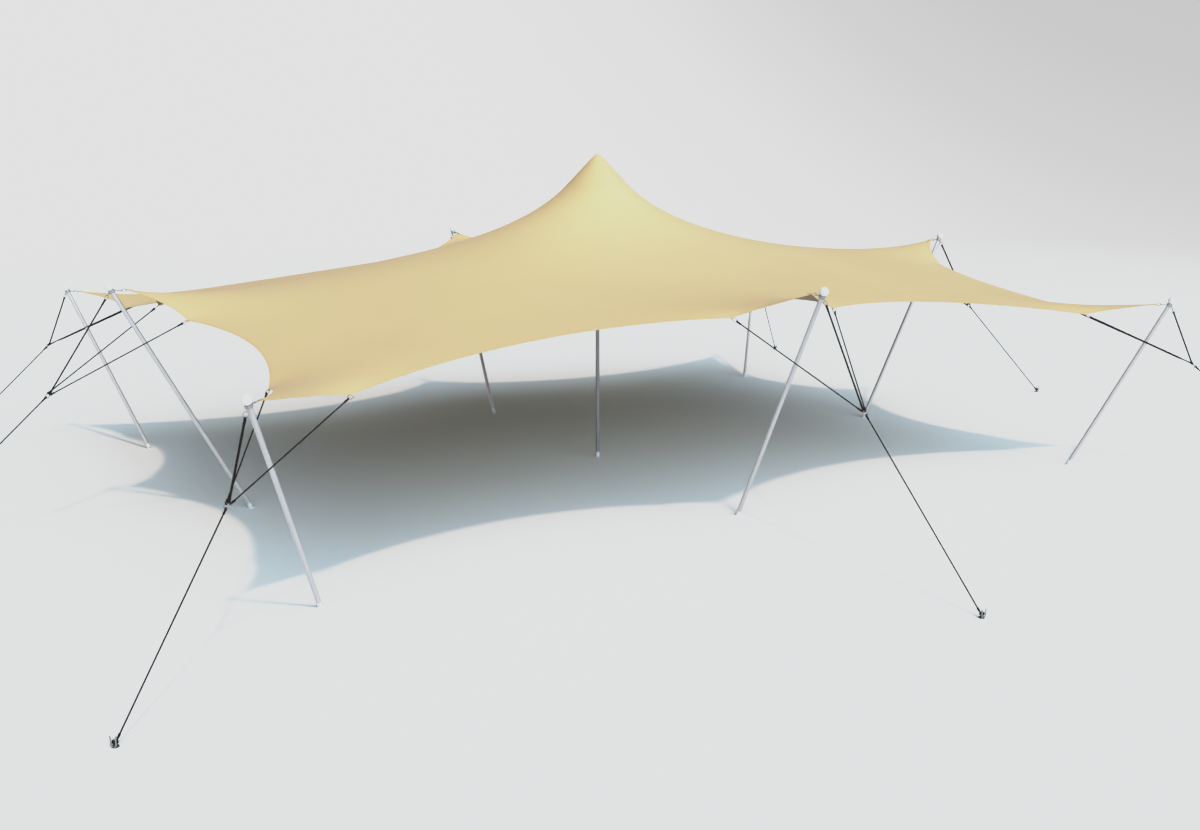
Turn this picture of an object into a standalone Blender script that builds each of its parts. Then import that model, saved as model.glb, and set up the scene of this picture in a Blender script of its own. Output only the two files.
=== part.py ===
"""Stretch tent: one stretched sheet on a centre pole and eight leaning poles, each guyed to a peg."""

import math

import bpy
import numpy as np
from mathutils import Matrix, Vector
from mathutils.bvhtree import BVHTree

# Canopy, in metres
SHEET_LENGTH = 15.0
SHEET_WIDTH = 10.0
CANOPY_THICKNESS = 0.012
PEAK_HEIGHT = 5.0
PEAK_SLOPE = 1.05
PEAK_ROUNDING = 0.03
PEAK_CAP_REACH = 0.55
MID_EYELET_SPACING = 1.1
CORNER_EYELET_SPACING = 1.25

# Tension of the sheet: its pull along the tent as a share of its pull across, and for each edge
# the width of sheet that pulls as hard as the edge does
LENGTHWAYS_PULL = 2.85
LONG_EDGE_BAND = 3.15
SHORT_EDGE_BAND = 4.85
TIP_EDGE_BAND = 1.4

# Steps of the sheet's grid from the centre to an edge
PEAK_STEPS = 5
PEAK_STEP_GROWTH = 1.25
LONG_FIELD_STEPS = 8
SHORT_FIELD_STEPS = 5
CORNER_STEPS = 3

# Corner stations: each head lies in from the flat sheet's end and out from its side, and the foot,
# ring, peg and eyelets are measured from the head
CORNER_HEAD_IN = 0.17
CORNER_HEAD_OUT = 0.35
CORNER_HEAD_HEIGHT = 2.74
CORNER_FOOT_IN_X = 0.98
CORNER_FOOT_IN_Y = 0.95
CORNER_RING_OUT_X = 0.33
CORNER_RING_OUT_Y = 0.26
CORNER_RING_DROP = 1.01
CORNER_PEG_OUT_X = 1.79
CORNER_PEG_OUT_Y = 1.50
LONG_EYELET_IN_X = 1.33
LONG_EYELET_IN_Y = 0.54
LONG_EYELET_DROP = 0.18
SHORT_EYELET_IN_X = 0.67
SHORT_EYELET_IN_Y = 1.49
SHORT_EYELET_DROP = 0.22

# Stations in the middle of the short edges
END_HEAD_OUT = 0.11
END_HEAD_HEIGHT = 3.345
END_FOOT_IN = 1.74
END_RING_OUT = 0.88
END_RING_DROP = 1.395
END_PEG_OUT = 2.99
END_EYELET_IN = 0.81
END_EYELET_ASIDE = 0.84
END_EYELET_DROP = 0.41

# Stations in the middle of the long edges
SIDE_HEAD_OUT = 0.64
SIDE_HEAD_HEIGHT = 3.40
SIDE_FOOT_IN = 1.71
SIDE_RING_OUT = 0.85
SIDE_RING_DROP = 1.41
SIDE_PEG_OUT = 2.94
SIDE_EYELET_IN = 0.79
SIDE_EYELET_ASIDE = 0.85
SIDE_EYELET_DROP = 0.37

# Poles, their feet and their heads
POLE_DIAMETER = 0.063
POLE_WALL = 0.003
PLUG_LENGTH = 0.08
FOOT_PAD_RADIUS = 0.042
FOOT_PAD_HEIGHT = 0.020
FOOT_START = 0.030
FOOT_SHOULDER = 0.085
FOOT_RIM = 0.004
HEAD_BALL_RADIUS = 0.060
HEAD_NECK_RADIUS = 0.026
COLLAR_RIM = 0.014
COLLAR_HEIGHT = 0.040
COLLAR_DROP = 0.095
CAP_BALL_RADIUS = 0.075
CAP_COLLAR_DROP = 0.110

# Steel eyes and rings
STEEL_ROD = 0.009
EYE_STEM = 0.013
INNER_EYE_REACH = 0.200
OUTER_EYE_REACH = 0.110
HEAD_EYE_RADIUS = 0.032
EYELET_LOOP_LENGTH = 0.085
EYELET_LOOP_WIDTH = 0.062
RING_RADIUS = 0.040
RING_ROD = 0.012

# Guy ropes and pegs
ROPE_DIAMETER = 0.016
STRAP_WIDTH = 0.030
STRAP_THICKNESS = 0.010
STRAP_TWIST = 5.0
ROPE_TWIST = 15.0
KNOT_RADIUS = 0.0125
LEG_ANGLE = 45.0
LEG_SEAT = 0.7
PEG_HEIGHT = 0.080
PEG_RADIUS = 0.014
PEG_BASE_RADIUS = 0.036
PEG_BASE_HEIGHT = 0.016
ROPE_AIM_HEIGHT = 0.032
ROPE_TURNS_HEIGHT = 0.052
TURN_ROUNDING = 0.004
FORK_HEIGHT = 0.122
FORK_ROD = 0.013
FORK_SPREAD = 0.85
FORK_LIFT = 0.002
HORN_LENGTH = 0.028
HORN_FLARE = 0.008

# Clearances
PLUG_CLEARANCE = 0.0004
SEAT_GAP = 0.0003
EYELET_GAP = 0.0006
SEAT_SEARCH_STEP = 0.00001

# Numbers of sides of the round pieces
POLE_SIDES = 16
BALL_STEPS = 4
PEG_SIDES = 10
ROPE_SIDES = 6
KNOT_SIDES = 7
STEEL_SIDES = 4
LOOP_QUARTER_STEPS = 2
SHARP_ANGLE = 40.0

UP = Vector((0, 0, 1))


def clear_scene():
    for obj in list(bpy.data.objects):
        bpy.data.objects.remove(obj, do_unlink=True)


def new_material(name, colour, roughness, metallic=0.0):
    material = bpy.data.materials.new(name)
    material.use_nodes = True
    shader = material.node_tree.nodes["Principled BSDF"]
    shader.inputs["Base Color"].default_value = (*colour, 1.0)
    shader.inputs["Roughness"].default_value = roughness
    shader.inputs["Metallic"].default_value = metallic
    return material


def new_mesh(name, shape):
    points, faces = shape
    mesh = bpy.data.meshes.new(name)
    mesh.from_pydata([tuple(point) for point in points], [], faces)
    mesh.validate()
    mesh.update()
    return mesh


def place(name, mesh, material, matrix=None):
    """One named object of the tent, shaded smooth, with its own material."""
    obj = bpy.data.objects.new(name, mesh)
    if material.name not in mesh.materials:
        mesh.materials.append(material)
    mesh.shade_smooth()
    mesh.set_sharp_from_angle(angle=math.radians(SHARP_ANGLE))
    if matrix is not None:
        obj.matrix_world = matrix
    bpy.context.scene.collection.objects.link(obj)
    return obj


def fused(name, shapes):
    """One mesh: the union of closed shapes that overlap."""
    objects = []
    for number, shape in enumerate(shapes):
        obj = bpy.data.objects.new(f"{name}_{number}", new_mesh(name, shape))
        bpy.context.scene.collection.objects.link(obj)
        objects.append(obj)
    for other in objects[1:]:
        union = objects[0].modifiers.new("union", "BOOLEAN")
        union.operation = "UNION"
        union.solver = "EXACT"
        union.object = other
    graph = bpy.context.evaluated_depsgraph_get()
    mesh = bpy.data.meshes.new_from_object(objects[0].evaluated_get(graph))
    mesh.name = name
    for obj in objects:
        bpy.data.objects.remove(obj, do_unlink=True)
    return mesh


def turned(profile, axis=UP, origin=Vector((0, 0, 0)), sides=POLE_SIDES):
    """A closed turned shape. The profile's (radius, height) points start and end on the axis."""
    turn = axis.to_track_quat("Z", "Y")
    points = []
    rings = []
    for radius, height in profile:
        if radius == 0:
            rings.append([len(points)])
            points.append(origin + turn @ Vector((0, 0, height)))
            continue
        rings.append(list(range(len(points), len(points) + sides)))
        for side in range(sides):
            angle = math.tau * side / sides
            spot = Vector((radius * math.cos(angle), radius * math.sin(angle), height))
            points.append(origin + turn @ spot)
    return points, skin(rings)


def skin(rings):
    """Faces between following rings of point numbers. A ring of one point closes an end."""
    faces = []
    for low, high in zip(rings, rings[1:]):
        count = max(len(low), len(high))
        for side in range(count):
            after = (side + 1) % count
            if len(low) == 1:
                faces.append((low[0], high[after], high[side]))
            elif len(high) == 1:
                faces.append((low[side], low[after], high[0]))
            else:
                faces.append((low[side], low[after], high[after], high[side]))
    return faces


def swept(route, across, width, thickness, sides=ROPE_SIDES, looped=False):
    """An oval bar along a route. Its width lies along the direction across."""
    count = len(route)
    points = []
    rings = []
    for number, spot in enumerate(route):
        if looped:
            ahead = route[(number + 1) % count] - route[number - 1]
        else:
            ahead = route[min(number + 1, count - 1)] - route[max(number - 1, 0)]
        thin = ahead.cross(across).normalized()
        wide = thin.cross(ahead).normalized()
        rings.append(list(range(len(points), len(points) + sides)))
        for side in range(sides):
            angle = math.tau * side / sides
            offset = wide * (math.cos(angle) * width / 2) + thin * (math.sin(angle) * thickness / 2)
            points.append(spot + offset)
    if looped:
        return points, turned_out(points, skin(rings + [rings[0]]))
    caps = [tuple(reversed(rings[0])), tuple(rings[-1])]
    return points, turned_out(points, skin(rings) + caps)


def turned_out(points, faces):
    """The faces, turned round where they enclose a negative volume."""
    volume = 0.0
    for face in faces:
        first = points[face[0]]
        for one, two in zip(face[1:], face[2:]):
            volume += first.dot(points[one].cross(points[two]))
    if volume < 0:
        return [tuple(reversed(face)) for face in faces]
    return faces


def steel_loop(start, along, across, length, width):
    """A long steel loop from start along its direction, flat in the plane of along and across."""
    radius = (width - STEEL_ROD) / 2
    along = along.normalized()
    across = (across - along * across.dot(along)).normalized()
    route = []
    for centre, turn in ((radius, math.pi / 2), (length - STEEL_ROD - radius, -math.pi / 2)):
        for step in range(2 * LOOP_QUARTER_STEPS + 1):
            angle = turn + math.pi / 2 * step / LOOP_QUARTER_STEPS
            offset = along * (centre + radius * math.cos(angle)) + across * (radius * math.sin(angle))
            route.append(start + along * (STEEL_ROD / 2) + offset)
    return swept(route, along.cross(across), STEEL_ROD, STEEL_ROD, STEEL_SIDES, looped=True)


def steel_ring(centre, along, across, radius, rod, sides=STEEL_SIDES):
    """A round ring in the plane of along and across, with a corner of its outline at each of them."""
    route = []
    for step in range(4 * LOOP_QUARTER_STEPS):
        angle = math.pi / 2 * step / LOOP_QUARTER_STEPS
        route.append(centre + along * (radius * math.cos(angle)) + across * (radius * math.sin(angle)))
    return swept(route, along.cross(across), rod, rod, sides, looped=True)


def steel_eye(root, along, across, reach):
    """A steel stem from its root that ends in a ring, flat in the plane of along and across."""
    centre = root + along * (reach - HEAD_EYE_RADIUS - STEEL_ROD / 2)
    stem = swept([root, centre - along * HEAD_EYE_RADIUS], across, EYE_STEM, EYE_STEM, STEEL_SIDES)
    return [stem, steel_ring(centre, along, across, HEAD_EYE_RADIUS, STEEL_ROD)]


def knot(centre, axis):
    """The ball of a tied rope end."""
    profile = [(0, -KNOT_RADIUS), *ball_arc(KNOT_RADIUS, KNOT_RADIUS / 3)]
    return turned(profile, axis, centre, KNOT_SIDES)


def ball_arc(radius, from_radius):
    """(radius, height) points of a ball from the ring of from_radius below its centre to its top."""
    start = math.asin(from_radius / radius) - math.pi / 2
    arc = []
    for step in range(BALL_STEPS):
        angle = start + (math.pi / 2 - start) * step / BALL_STEPS
        arc.append((radius * math.cos(angle), radius * math.sin(angle)))
    return arc + [(0, radius)]


class Station:
    """A leaning pole and its guy: foot, head, ring and peg, and the eyelets at each side of it."""

    def __init__(self, name, side, foot, head, ring, peg, eyelets, broad_leg=0):
        self.name = name
        self.side = side
        self.foot = Vector(foot)
        self.head = Vector(head)
        self.ring = Vector(ring)
        self.peg = Vector(peg)
        self.eyelets = [Vector(eyelet) for eyelet in eyelets]
        self.broad_leg = broad_leg
        run = self.head - self.foot
        self.pole_length = run.length
        self.pole_axis = run.normalized()
        self.outward = Vector((run.x, run.y, 0)).normalized()
        collar = self.head - self.pole_axis * (COLLAR_DROP - COLLAR_HEIGHT / 2)
        collar_side = (self.outward - self.pole_axis * self.outward.dot(self.pole_axis)).normalized()
        self.tip_root = collar + self.pole_axis * (COLLAR_HEIGHT / 4)
        self.tip = self.tip_root - self.outward * (INNER_EYE_REACH + SEAT_GAP)
        self.strap_root = collar + collar_side * (POLE_DIAMETER / 2 + COLLAR_RIM - STEEL_ROD)
        self.rope_aim = self.peg + UP * ROPE_AIM_HEIGHT
        self.rope_line = (self.ring - self.rope_aim).normalized()
        self.ring_side = UP.cross(self.rope_line).normalized()
        self.ring_top = self.ring + self.rope_line * RING_RADIUS
        self.strap_line = (self.ring_top - self.strap_root).normalized()

    def upright(self, origin):
        """The matrix that puts a piece drawn with +X outward at this origin."""
        bearing = math.atan2(self.outward.y, self.outward.x)
        return Matrix.Translation(origin) @ Matrix.Rotation(bearing, 4, "Z")

    def local(self, direction):
        return self.upright(Vector((0, 0, 0))).to_3x3().transposed() @ direction


def corner_station(name, x_sign, y_sign, broad_leg=0):
    head_x = SHEET_LENGTH / 2 - CORNER_HEAD_IN
    head_y = SHEET_WIDTH / 2 + CORNER_HEAD_OUT

    def spot(out_x, out_y, height):
        return (x_sign * (head_x + out_x), y_sign * (head_y + out_y), height)

    return Station(
        name,
        (x_sign, y_sign),
        spot(-CORNER_FOOT_IN_X, -CORNER_FOOT_IN_Y, 0),
        spot(0, 0, CORNER_HEAD_HEIGHT),
        spot(CORNER_RING_OUT_X, CORNER_RING_OUT_Y, CORNER_HEAD_HEIGHT - CORNER_RING_DROP),
        spot(CORNER_PEG_OUT_X, CORNER_PEG_OUT_Y, 0),
        [
            spot(-LONG_EYELET_IN_X, -LONG_EYELET_IN_Y, CORNER_HEAD_HEIGHT - LONG_EYELET_DROP),
            spot(-SHORT_EYELET_IN_X, -SHORT_EYELET_IN_Y, CORNER_HEAD_HEIGHT - SHORT_EYELET_DROP),
        ],
        broad_leg,
    )


def end_station(name, x_sign):
    head_x = SHEET_LENGTH / 2 + END_HEAD_OUT

    def spot(out, aside, height):
        return (x_sign * (head_x + out), aside, height)

    eyelet_height = END_HEAD_HEIGHT - END_EYELET_DROP
    return Station(
        name,
        (x_sign, 0),
        spot(-END_FOOT_IN, 0, 0),
        spot(0, 0, END_HEAD_HEIGHT),
        spot(END_RING_OUT, 0, END_HEAD_HEIGHT - END_RING_DROP),
        spot(END_PEG_OUT, 0, 0),
        [spot(-END_EYELET_IN, side * END_EYELET_ASIDE, eyelet_height) for side in (-1, 1)],
    )


def side_station(name, y_sign):
    head_y = SHEET_WIDTH / 2 + SIDE_HEAD_OUT

    def spot(out, aside, height):
        return (aside, y_sign * (head_y + out), height)

    eyelet_height = SIDE_HEAD_HEIGHT - SIDE_EYELET_DROP
    return Station(
        name,
        (0, y_sign),
        spot(-SIDE_FOOT_IN, 0, 0),
        spot(0, 0, SIDE_HEAD_HEIGHT),
        spot(SIDE_RING_OUT, 0, SIDE_HEAD_HEIGHT - SIDE_RING_DROP),
        spot(SIDE_PEG_OUT, 0, 0),
        [spot(-SIDE_EYELET_IN, side * SIDE_EYELET_ASIDE, eyelet_height) for side in (-1, 1)],
    )


def all_stations():
    return [
        corner_station("front_left", -1, -1),
        corner_station("front_right", 1, -1, broad_leg=1),
        corner_station("back_left", -1, 1, broad_leg=1),
        corner_station("back_right", 1, 1),
        end_station("left", -1),
        end_station("right", 1),
        side_station("front", -1),
        side_station("back", 1),
    ]


def grown_steps(start, end, count, growth):
    """Places from start to end, each step longer than the one before by the growth."""
    steps = growth ** np.arange(count)
    return start + (end - start) * np.concatenate([[0], np.cumsum(steps) / steps.sum()])


def sheet_lines(half, field_steps):
    """The sheet's grid lines on both sides of its centre, with one through each eyelet."""
    corner_eyelet = half - CORNER_EYELET_SPACING
    near_peak = grown_steps(0, MID_EYELET_SPACING, PEAK_STEPS, PEAK_STEP_GROWTH)
    field = np.linspace(MID_EYELET_SPACING, corner_eyelet, field_steps + 1)
    corner = np.linspace(corner_eyelet, half, CORNER_STEPS + 1)
    one_side = np.concatenate([near_peak, field[1:], corner[1:]])
    return np.concatenate([-one_side[:0:-1], one_side])


def edge_bands(lines, half, long_band):
    """The band of each step of an edge, which is narrower beside a tip."""
    middles = np.abs(lines[1:] + lines[:-1]) / 2
    beside_tip = (middles < MID_EYELET_SPACING) | (middles > half - CORNER_EYELET_SPACING)
    return np.where(beside_tip, TIP_EDGE_BAND, long_band)


def shares(lines):
    """The width of sheet that each grid line stands for."""
    steps = np.diff(lines)
    width = np.zeros(len(lines))
    width[1:] += steps / 2
    width[:-1] += steps / 2
    return width


def held_points(stations, x_lines, y_lines):
    """Grid places that don't float: tips at the heads, eyelets at the legs, and the peak on its cap."""
    half_length, half_width = SHEET_LENGTH / 2, SHEET_WIDTH / 2
    held = {}

    def hold(x, y, point):
        held[int(np.argmin(abs(x_lines - x))), int(np.argmin(abs(y_lines - y)))] = tuple(point)

    for station in stations:
        x_sign, y_sign = station.side
        hold(x_sign * half_length, y_sign * half_width, station.tip)
        if x_sign and y_sign:
            hold(x_sign * (half_length - CORNER_EYELET_SPACING), y_sign * half_width, station.eyelets[0])
            hold(x_sign * half_length, y_sign * (half_width - CORNER_EYELET_SPACING), station.eyelets[1])
        elif x_sign:
            for eyelet in station.eyelets:
                hold(x_sign * half_length, math.copysign(MID_EYELET_SPACING, eyelet.y), eyelet)
        else:
            for eyelet in station.eyelets:
                hold(math.copysign(MID_EYELET_SPACING, eyelet.x), y_sign * half_width, eyelet)
    top = PEAK_HEIGHT - CANOPY_THICKNESS / 2
    for i, x in enumerate(x_lines):
        for j, y in enumerate(y_lines):
            reach = math.hypot(x, y)
            if reach <= PEAK_CAP_REACH:
                drop = PEAK_SLOPE * (math.hypot(reach, PEAK_ROUNDING) - PEAK_ROUNDING)
                held[i, j] = (x, y, top - drop)
    return held


def stretched_sheet(stations):
    """Points of the sheet's middle surface, where the pulls balance at every free point of its grid."""
    x_lines = sheet_lines(SHEET_LENGTH / 2, LONG_FIELD_STEPS)
    y_lines = sheet_lines(SHEET_WIDTH / 2, SHORT_FIELD_STEPS)
    x_steps, y_steps = np.diff(x_lines), np.diff(y_lines)
    along_x = LENGTHWAYS_PULL * shares(y_lines)[None, :] / x_steps[:, None]
    along_y = shares(x_lines)[:, None] / y_steps[None, :]
    long_edge = edge_bands(x_lines, SHEET_LENGTH / 2, LONG_EDGE_BAND) / x_steps
    short_edge = edge_bands(y_lines, SHEET_WIDTH / 2, SHORT_EDGE_BAND) / y_steps
    for side in (0, -1):
        along_x[:, side] += long_edge
        along_y[side, :] += short_edge
    numbers = np.arange(len(x_lines) * len(y_lines)).reshape(len(x_lines), len(y_lines))
    pulls = np.zeros((numbers.size, numbers.size))
    links = (
        (numbers[:-1], numbers[1:], along_x),
        (numbers[:, :-1], numbers[:, 1:], along_y),
    )
    for one, two, pull in links:
        one, two, pull = one.ravel(), two.ravel(), pull.ravel()
        np.add.at(pulls, (one, one), pull)
        np.add.at(pulls, (two, two), pull)
        np.add.at(pulls, (one, two), -pull)
        np.add.at(pulls, (two, one), -pull)
    held = held_points(stations, x_lines, y_lines)
    fixed = np.array([numbers[place] for place in held])
    free = np.setdiff1d(numbers.ravel(), fixed)
    points = np.zeros((numbers.size, 3))
    points[fixed] = np.array(list(held.values()))
    load = -pulls[np.ix_(free, fixed)] @ points[fixed]
    points[free] = np.linalg.solve(pulls[np.ix_(free, free)], load)
    return points.reshape(*numbers.shape, 3), x_lines, y_lines


def sheet_normals(points, x_lines, y_lines):
    """Upward directions across the sheet. At a tip it is straight up, square to the loop that pulls it."""
    normals = np.cross(np.gradient(points, axis=0), np.gradient(points, axis=1))
    normals /= np.linalg.norm(normals, axis=2, keepdims=True)
    middle_x, middle_y = len(x_lines) // 2, len(y_lines) // 2
    for i in (0, middle_x, -1):
        for j in (0, middle_y, -1):
            normals[i, j] = (0, 0, 1)
    return normals


def canopy_shape(points, normals):
    """The sheet as a closed solid of even thickness."""
    rows, columns = points.shape[:2]
    count = rows * columns
    over = (points + normals * CANOPY_THICKNESS / 2).reshape(-1, 3)
    under = (points - normals * CANOPY_THICKNESS / 2).reshape(-1, 3)
    numbers = np.arange(count).reshape(rows, columns)
    faces = []
    for i in range(rows - 1):
        for j in range(columns - 1):
            quad = (numbers[i, j], numbers[i + 1, j], numbers[i + 1, j + 1], numbers[i, j + 1])
            quad = tuple(int(number) for number in quad)
            faces.append(quad)
            faces.append(tuple(number + count for number in reversed(quad)))
    rim = [*numbers[:-1, 0], *numbers[-1, :-1], *numbers[:0:-1, -1], *numbers[0, :0:-1]]
    for one, two in zip(rim, rim[1:] + rim[:1]):
        one, two = int(one), int(two)
        faces.append((two, one, one + count, two + count))
    return [Vector(point) for point in np.concatenate([over, under])], faces


def tree(points, faces, raised=0.0):
    return BVHTree.FromPolygons([point + UP * raised for point in points], faces)


def cap_height(canopy, cap):
    """The height of the ball's centre where the cap seats under the peak of the canopy."""
    sheet = tree(*canopy)
    clear = PEAK_HEIGHT - CAP_BALL_RADIUS - CAP_COLLAR_DROP
    blocked = PEAK_HEIGHT
    while blocked - clear > SEAT_SEARCH_STEP:
        height = (clear + blocked) / 2
        if sheet.overlap(tree(*cap, raised=height)):
            blocked = height
        else:
            clear = height
    return clear - SEAT_GAP


def hollow(profile, axis=UP, sides=POLE_SIDES):
    """A closed (radius, height) profile turned round an axis that it doesn't touch."""
    turn = axis.to_track_quat("Z", "Y")
    points = []
    rings = []
    for radius, height in profile:
        rings.append(list(range(len(points), len(points) + sides)))
        for side in range(sides):
            angle = math.tau * side / sides
            points.append(turn @ Vector((radius * math.cos(angle), radius * math.sin(angle), height)))
    return points, turned_out(points, skin(rings + [rings[0]]))


def pole_shape(start, end, axis=UP):
    """A round tube along its axis, open at both ends."""
    outer = POLE_DIAMETER / 2
    bore = outer - POLE_WALL
    return hollow([(bore, start), (bore, end), (outer, end), (outer, start)], axis)


def plug_radius():
    return POLE_DIAMETER / 2 - POLE_WALL - PLUG_CLEARANCE


def foot_mesh(name, axis):
    """A round pad on the ground and a leaning socket whose plug fills the pole's lower end."""
    pad_edge = FOOT_PAD_HEIGHT / 2
    pad = turned([
        (0, 0),
        (FOOT_PAD_RADIUS, 0),
        (FOOT_PAD_RADIUS, pad_edge),
        (FOOT_PAD_RADIUS - pad_edge, FOOT_PAD_HEIGHT),
        (0, FOOT_PAD_HEIGHT),
    ])
    rim = POLE_DIAMETER / 2 + FOOT_RIM
    socket = turned([
        (0, FOOT_START),
        (rim, FOOT_START),
        (rim, FOOT_SHOULDER),
        (plug_radius(), FOOT_SHOULDER),
        (plug_radius(), FOOT_SHOULDER + PLUG_LENGTH),
        (0, FOOT_SHOULDER + PLUG_LENGTH),
    ], axis)
    stem = turned([
        (0, FOOT_PAD_HEIGHT / 2),
        (rim / 2, FOOT_PAD_HEIGHT / 2),
        (rim / 2, FOOT_SHOULDER - FOOT_RIM),
        (0, FOOT_SHOULDER - FOOT_RIM),
    ], axis)
    return fused(name, [pad, socket, stem])


def head_profile(ball_radius, collar_drop):
    """The plug in the pole's top end, the collar on it and the ball, measured from the ball's centre."""
    collar = POLE_DIAMETER / 2 + COLLAR_RIM
    return [
        (0, -collar_drop - PLUG_LENGTH),
        (plug_radius(), -collar_drop - PLUG_LENGTH),
        (plug_radius(), -collar_drop),
        (collar, -collar_drop),
        (collar, COLLAR_HEIGHT - collar_drop),
        (HEAD_NECK_RADIUS, COLLAR_HEIGHT - collar_drop),
        *ball_arc(ball_radius, HEAD_NECK_RADIUS),
    ]


def head_mesh(name, station):
    """The head of a leaning pole, with one steel eye to the canopy's tip and one to the strap."""
    inward = Vector((-1, 0, 0))
    sideways = Vector((0, 1, 0))
    tip_root = station.local(station.tip_root - station.head) + inward * (POLE_DIAMETER / 4)
    strap_root = station.local(station.strap_root - station.head)
    return fused(name, [
        turned(head_profile(HEAD_BALL_RADIUS, COLLAR_DROP), station.local(station.pole_axis)),
        *steel_eye(tip_root, inward, sideways, INNER_EYE_REACH - POLE_DIAMETER / 4),
        *steel_eye(strap_root, station.local(station.strap_line), sideways, OUTER_EYE_REACH),
    ])


def rope_between(start, end, across, broad):
    """A strap or a round rope. A slight twist keeps its edges off the planes of the rings that it joins."""
    twist = math.radians(STRAP_TWIST if broad else ROPE_TWIST)
    across = Matrix.Rotation(twist, 3, end - start) @ across
    if broad:
        return swept([start, end], across, STRAP_WIDTH, STRAP_THICKNESS)
    return swept([start, end], across, ROPE_DIAMETER, ROPE_DIAMETER)


def guy_shapes(station, under_eyelets):
    """Three legs from the pole head and the eyelets to a steel ring, and the rope down to the peg."""
    ring = station.ring
    shapes = [steel_ring(ring, station.rope_line, station.ring_side, RING_RADIUS, RING_ROD, ROPE_SIDES)]
    strap_start = station.strap_root + station.strap_line * (OUTER_EYE_REACH + SEAT_GAP)
    shapes.append(rope_between(strap_start, station.ring_top, station.ring_side, station.broad_leg == 0))
    turn = math.radians(LEG_ANGLE)
    for number, (contact, normal) in enumerate(under_eyelets):
        aside = math.copysign(math.sin(turn), station.ring_side.dot(contact - station.head))
        leg_end = ring + (station.rope_line * math.cos(turn) + station.ring_side * aside) * RING_RADIUS
        leg = (leg_end - contact).normalized()
        across = normal.cross(leg).normalized()
        start = contact - normal * EYELET_GAP - (leg.cross(across) + leg) * (STEEL_ROD / 2)
        shapes.append(steel_loop(start, leg, across, EYELET_LOOP_LENGTH, EYELET_LOOP_WIDTH))
        leg_start = start + leg * (EYELET_LOOP_LENGTH - LEG_SEAT * STEEL_ROD)
        shapes.append(rope_between(leg_start, leg_end, across, station.broad_leg == number + 1))
        shapes.append(knot(leg_end, leg))
    upper_end = ring - station.rope_line * RING_RADIUS
    turn_middle = PEG_RADIUS + SEAT_GAP + ROPE_DIAMETER / 2
    lower_end = station.rope_aim + station.rope_line * (turn_middle / station.rope_line.xy.length)
    shapes.append(rope_between(upper_end, lower_end, station.ring_side, False))
    shapes.append(knot(upper_end, station.rope_line))
    shapes.append(rope_turns(station))
    return [([point - ring for point in points], faces) for points, faces in shapes]


def rope_turns(station):
    """Two turns of rope round the peg, with as many sides as the peg, so that they lie close to it."""
    inner = PEG_RADIUS + SEAT_GAP
    outer = inner + ROPE_DIAMETER
    low, high = ROPE_TURNS_HEIGHT - ROPE_DIAMETER, ROPE_TURNS_HEIGHT + ROPE_DIAMETER
    points, faces = hollow([
        (inner, low),
        (outer - TURN_ROUNDING, low),
        (outer, low + TURN_ROUNDING),
        (outer, ROPE_TURNS_HEIGHT - TURN_ROUNDING),
        (outer - TURN_ROUNDING, ROPE_TURNS_HEIGHT),
        (outer, ROPE_TURNS_HEIGHT + TURN_ROUNDING),
        (outer, high - TURN_ROUNDING),
        (outer - TURN_ROUNDING, high),
        (inner, high),
    ], sides=PEG_SIDES)
    at_peg = station.upright(station.peg)
    return [at_peg @ point for point in points], faces


def peg_mesh(name):
    """A stake on a round base, and an upright steel fork with two horns at its outer side."""
    stake = turned([
        (0, 0),
        (PEG_BASE_RADIUS, 0),
        (PEG_BASE_RADIUS, PEG_BASE_HEIGHT),
        (PEG_RADIUS, PEG_BASE_HEIGHT),
        (PEG_RADIUS, PEG_HEIGHT),
        (0, PEG_HEIGHT),
    ], sides=PEG_SIDES)
    reach = PEG_RADIUS + ROPE_DIAMETER * FORK_SPREAD
    horn_tip = (reach + HORN_FLARE, FORK_HEIGHT - FORK_ROD / 2)
    horn_root = (reach, FORK_HEIGHT - FORK_ROD / 2 - HORN_LENGTH)
    outline = [horn_tip, horn_root]
    for step in range(2 * LOOP_QUARTER_STEPS + 1):
        angle = math.pi / 2 * step / LOOP_QUARTER_STEPS
        height = FORK_LIFT + FORK_ROD / 2 + reach * (1 - math.sin(angle))
        outline.append((reach * math.cos(angle), height))
    outline += [(-aside, height) for aside, height in (horn_root, horn_tip)]
    route = [Vector((reach, aside, height)) for aside, height in outline]
    fork = swept(route, Vector((1, 0, 0)), FORK_ROD, FORK_ROD)
    return fused(name, [stake, fork])


def eyelet_contacts(station, points, normals):
    """For each eyelet of a station, the point on the sheet's underside and its normal."""
    contacts = []
    for eyelet in station.eyelets:
        distance = np.linalg.norm(points - np.array(eyelet), axis=2)
        place_at = np.unravel_index(np.argmin(distance), distance.shape)
        normal = Vector(normals[place_at])
        contacts.append((eyelet - normal * CANOPY_THICKNESS / 2, normal))
    return contacts


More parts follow.
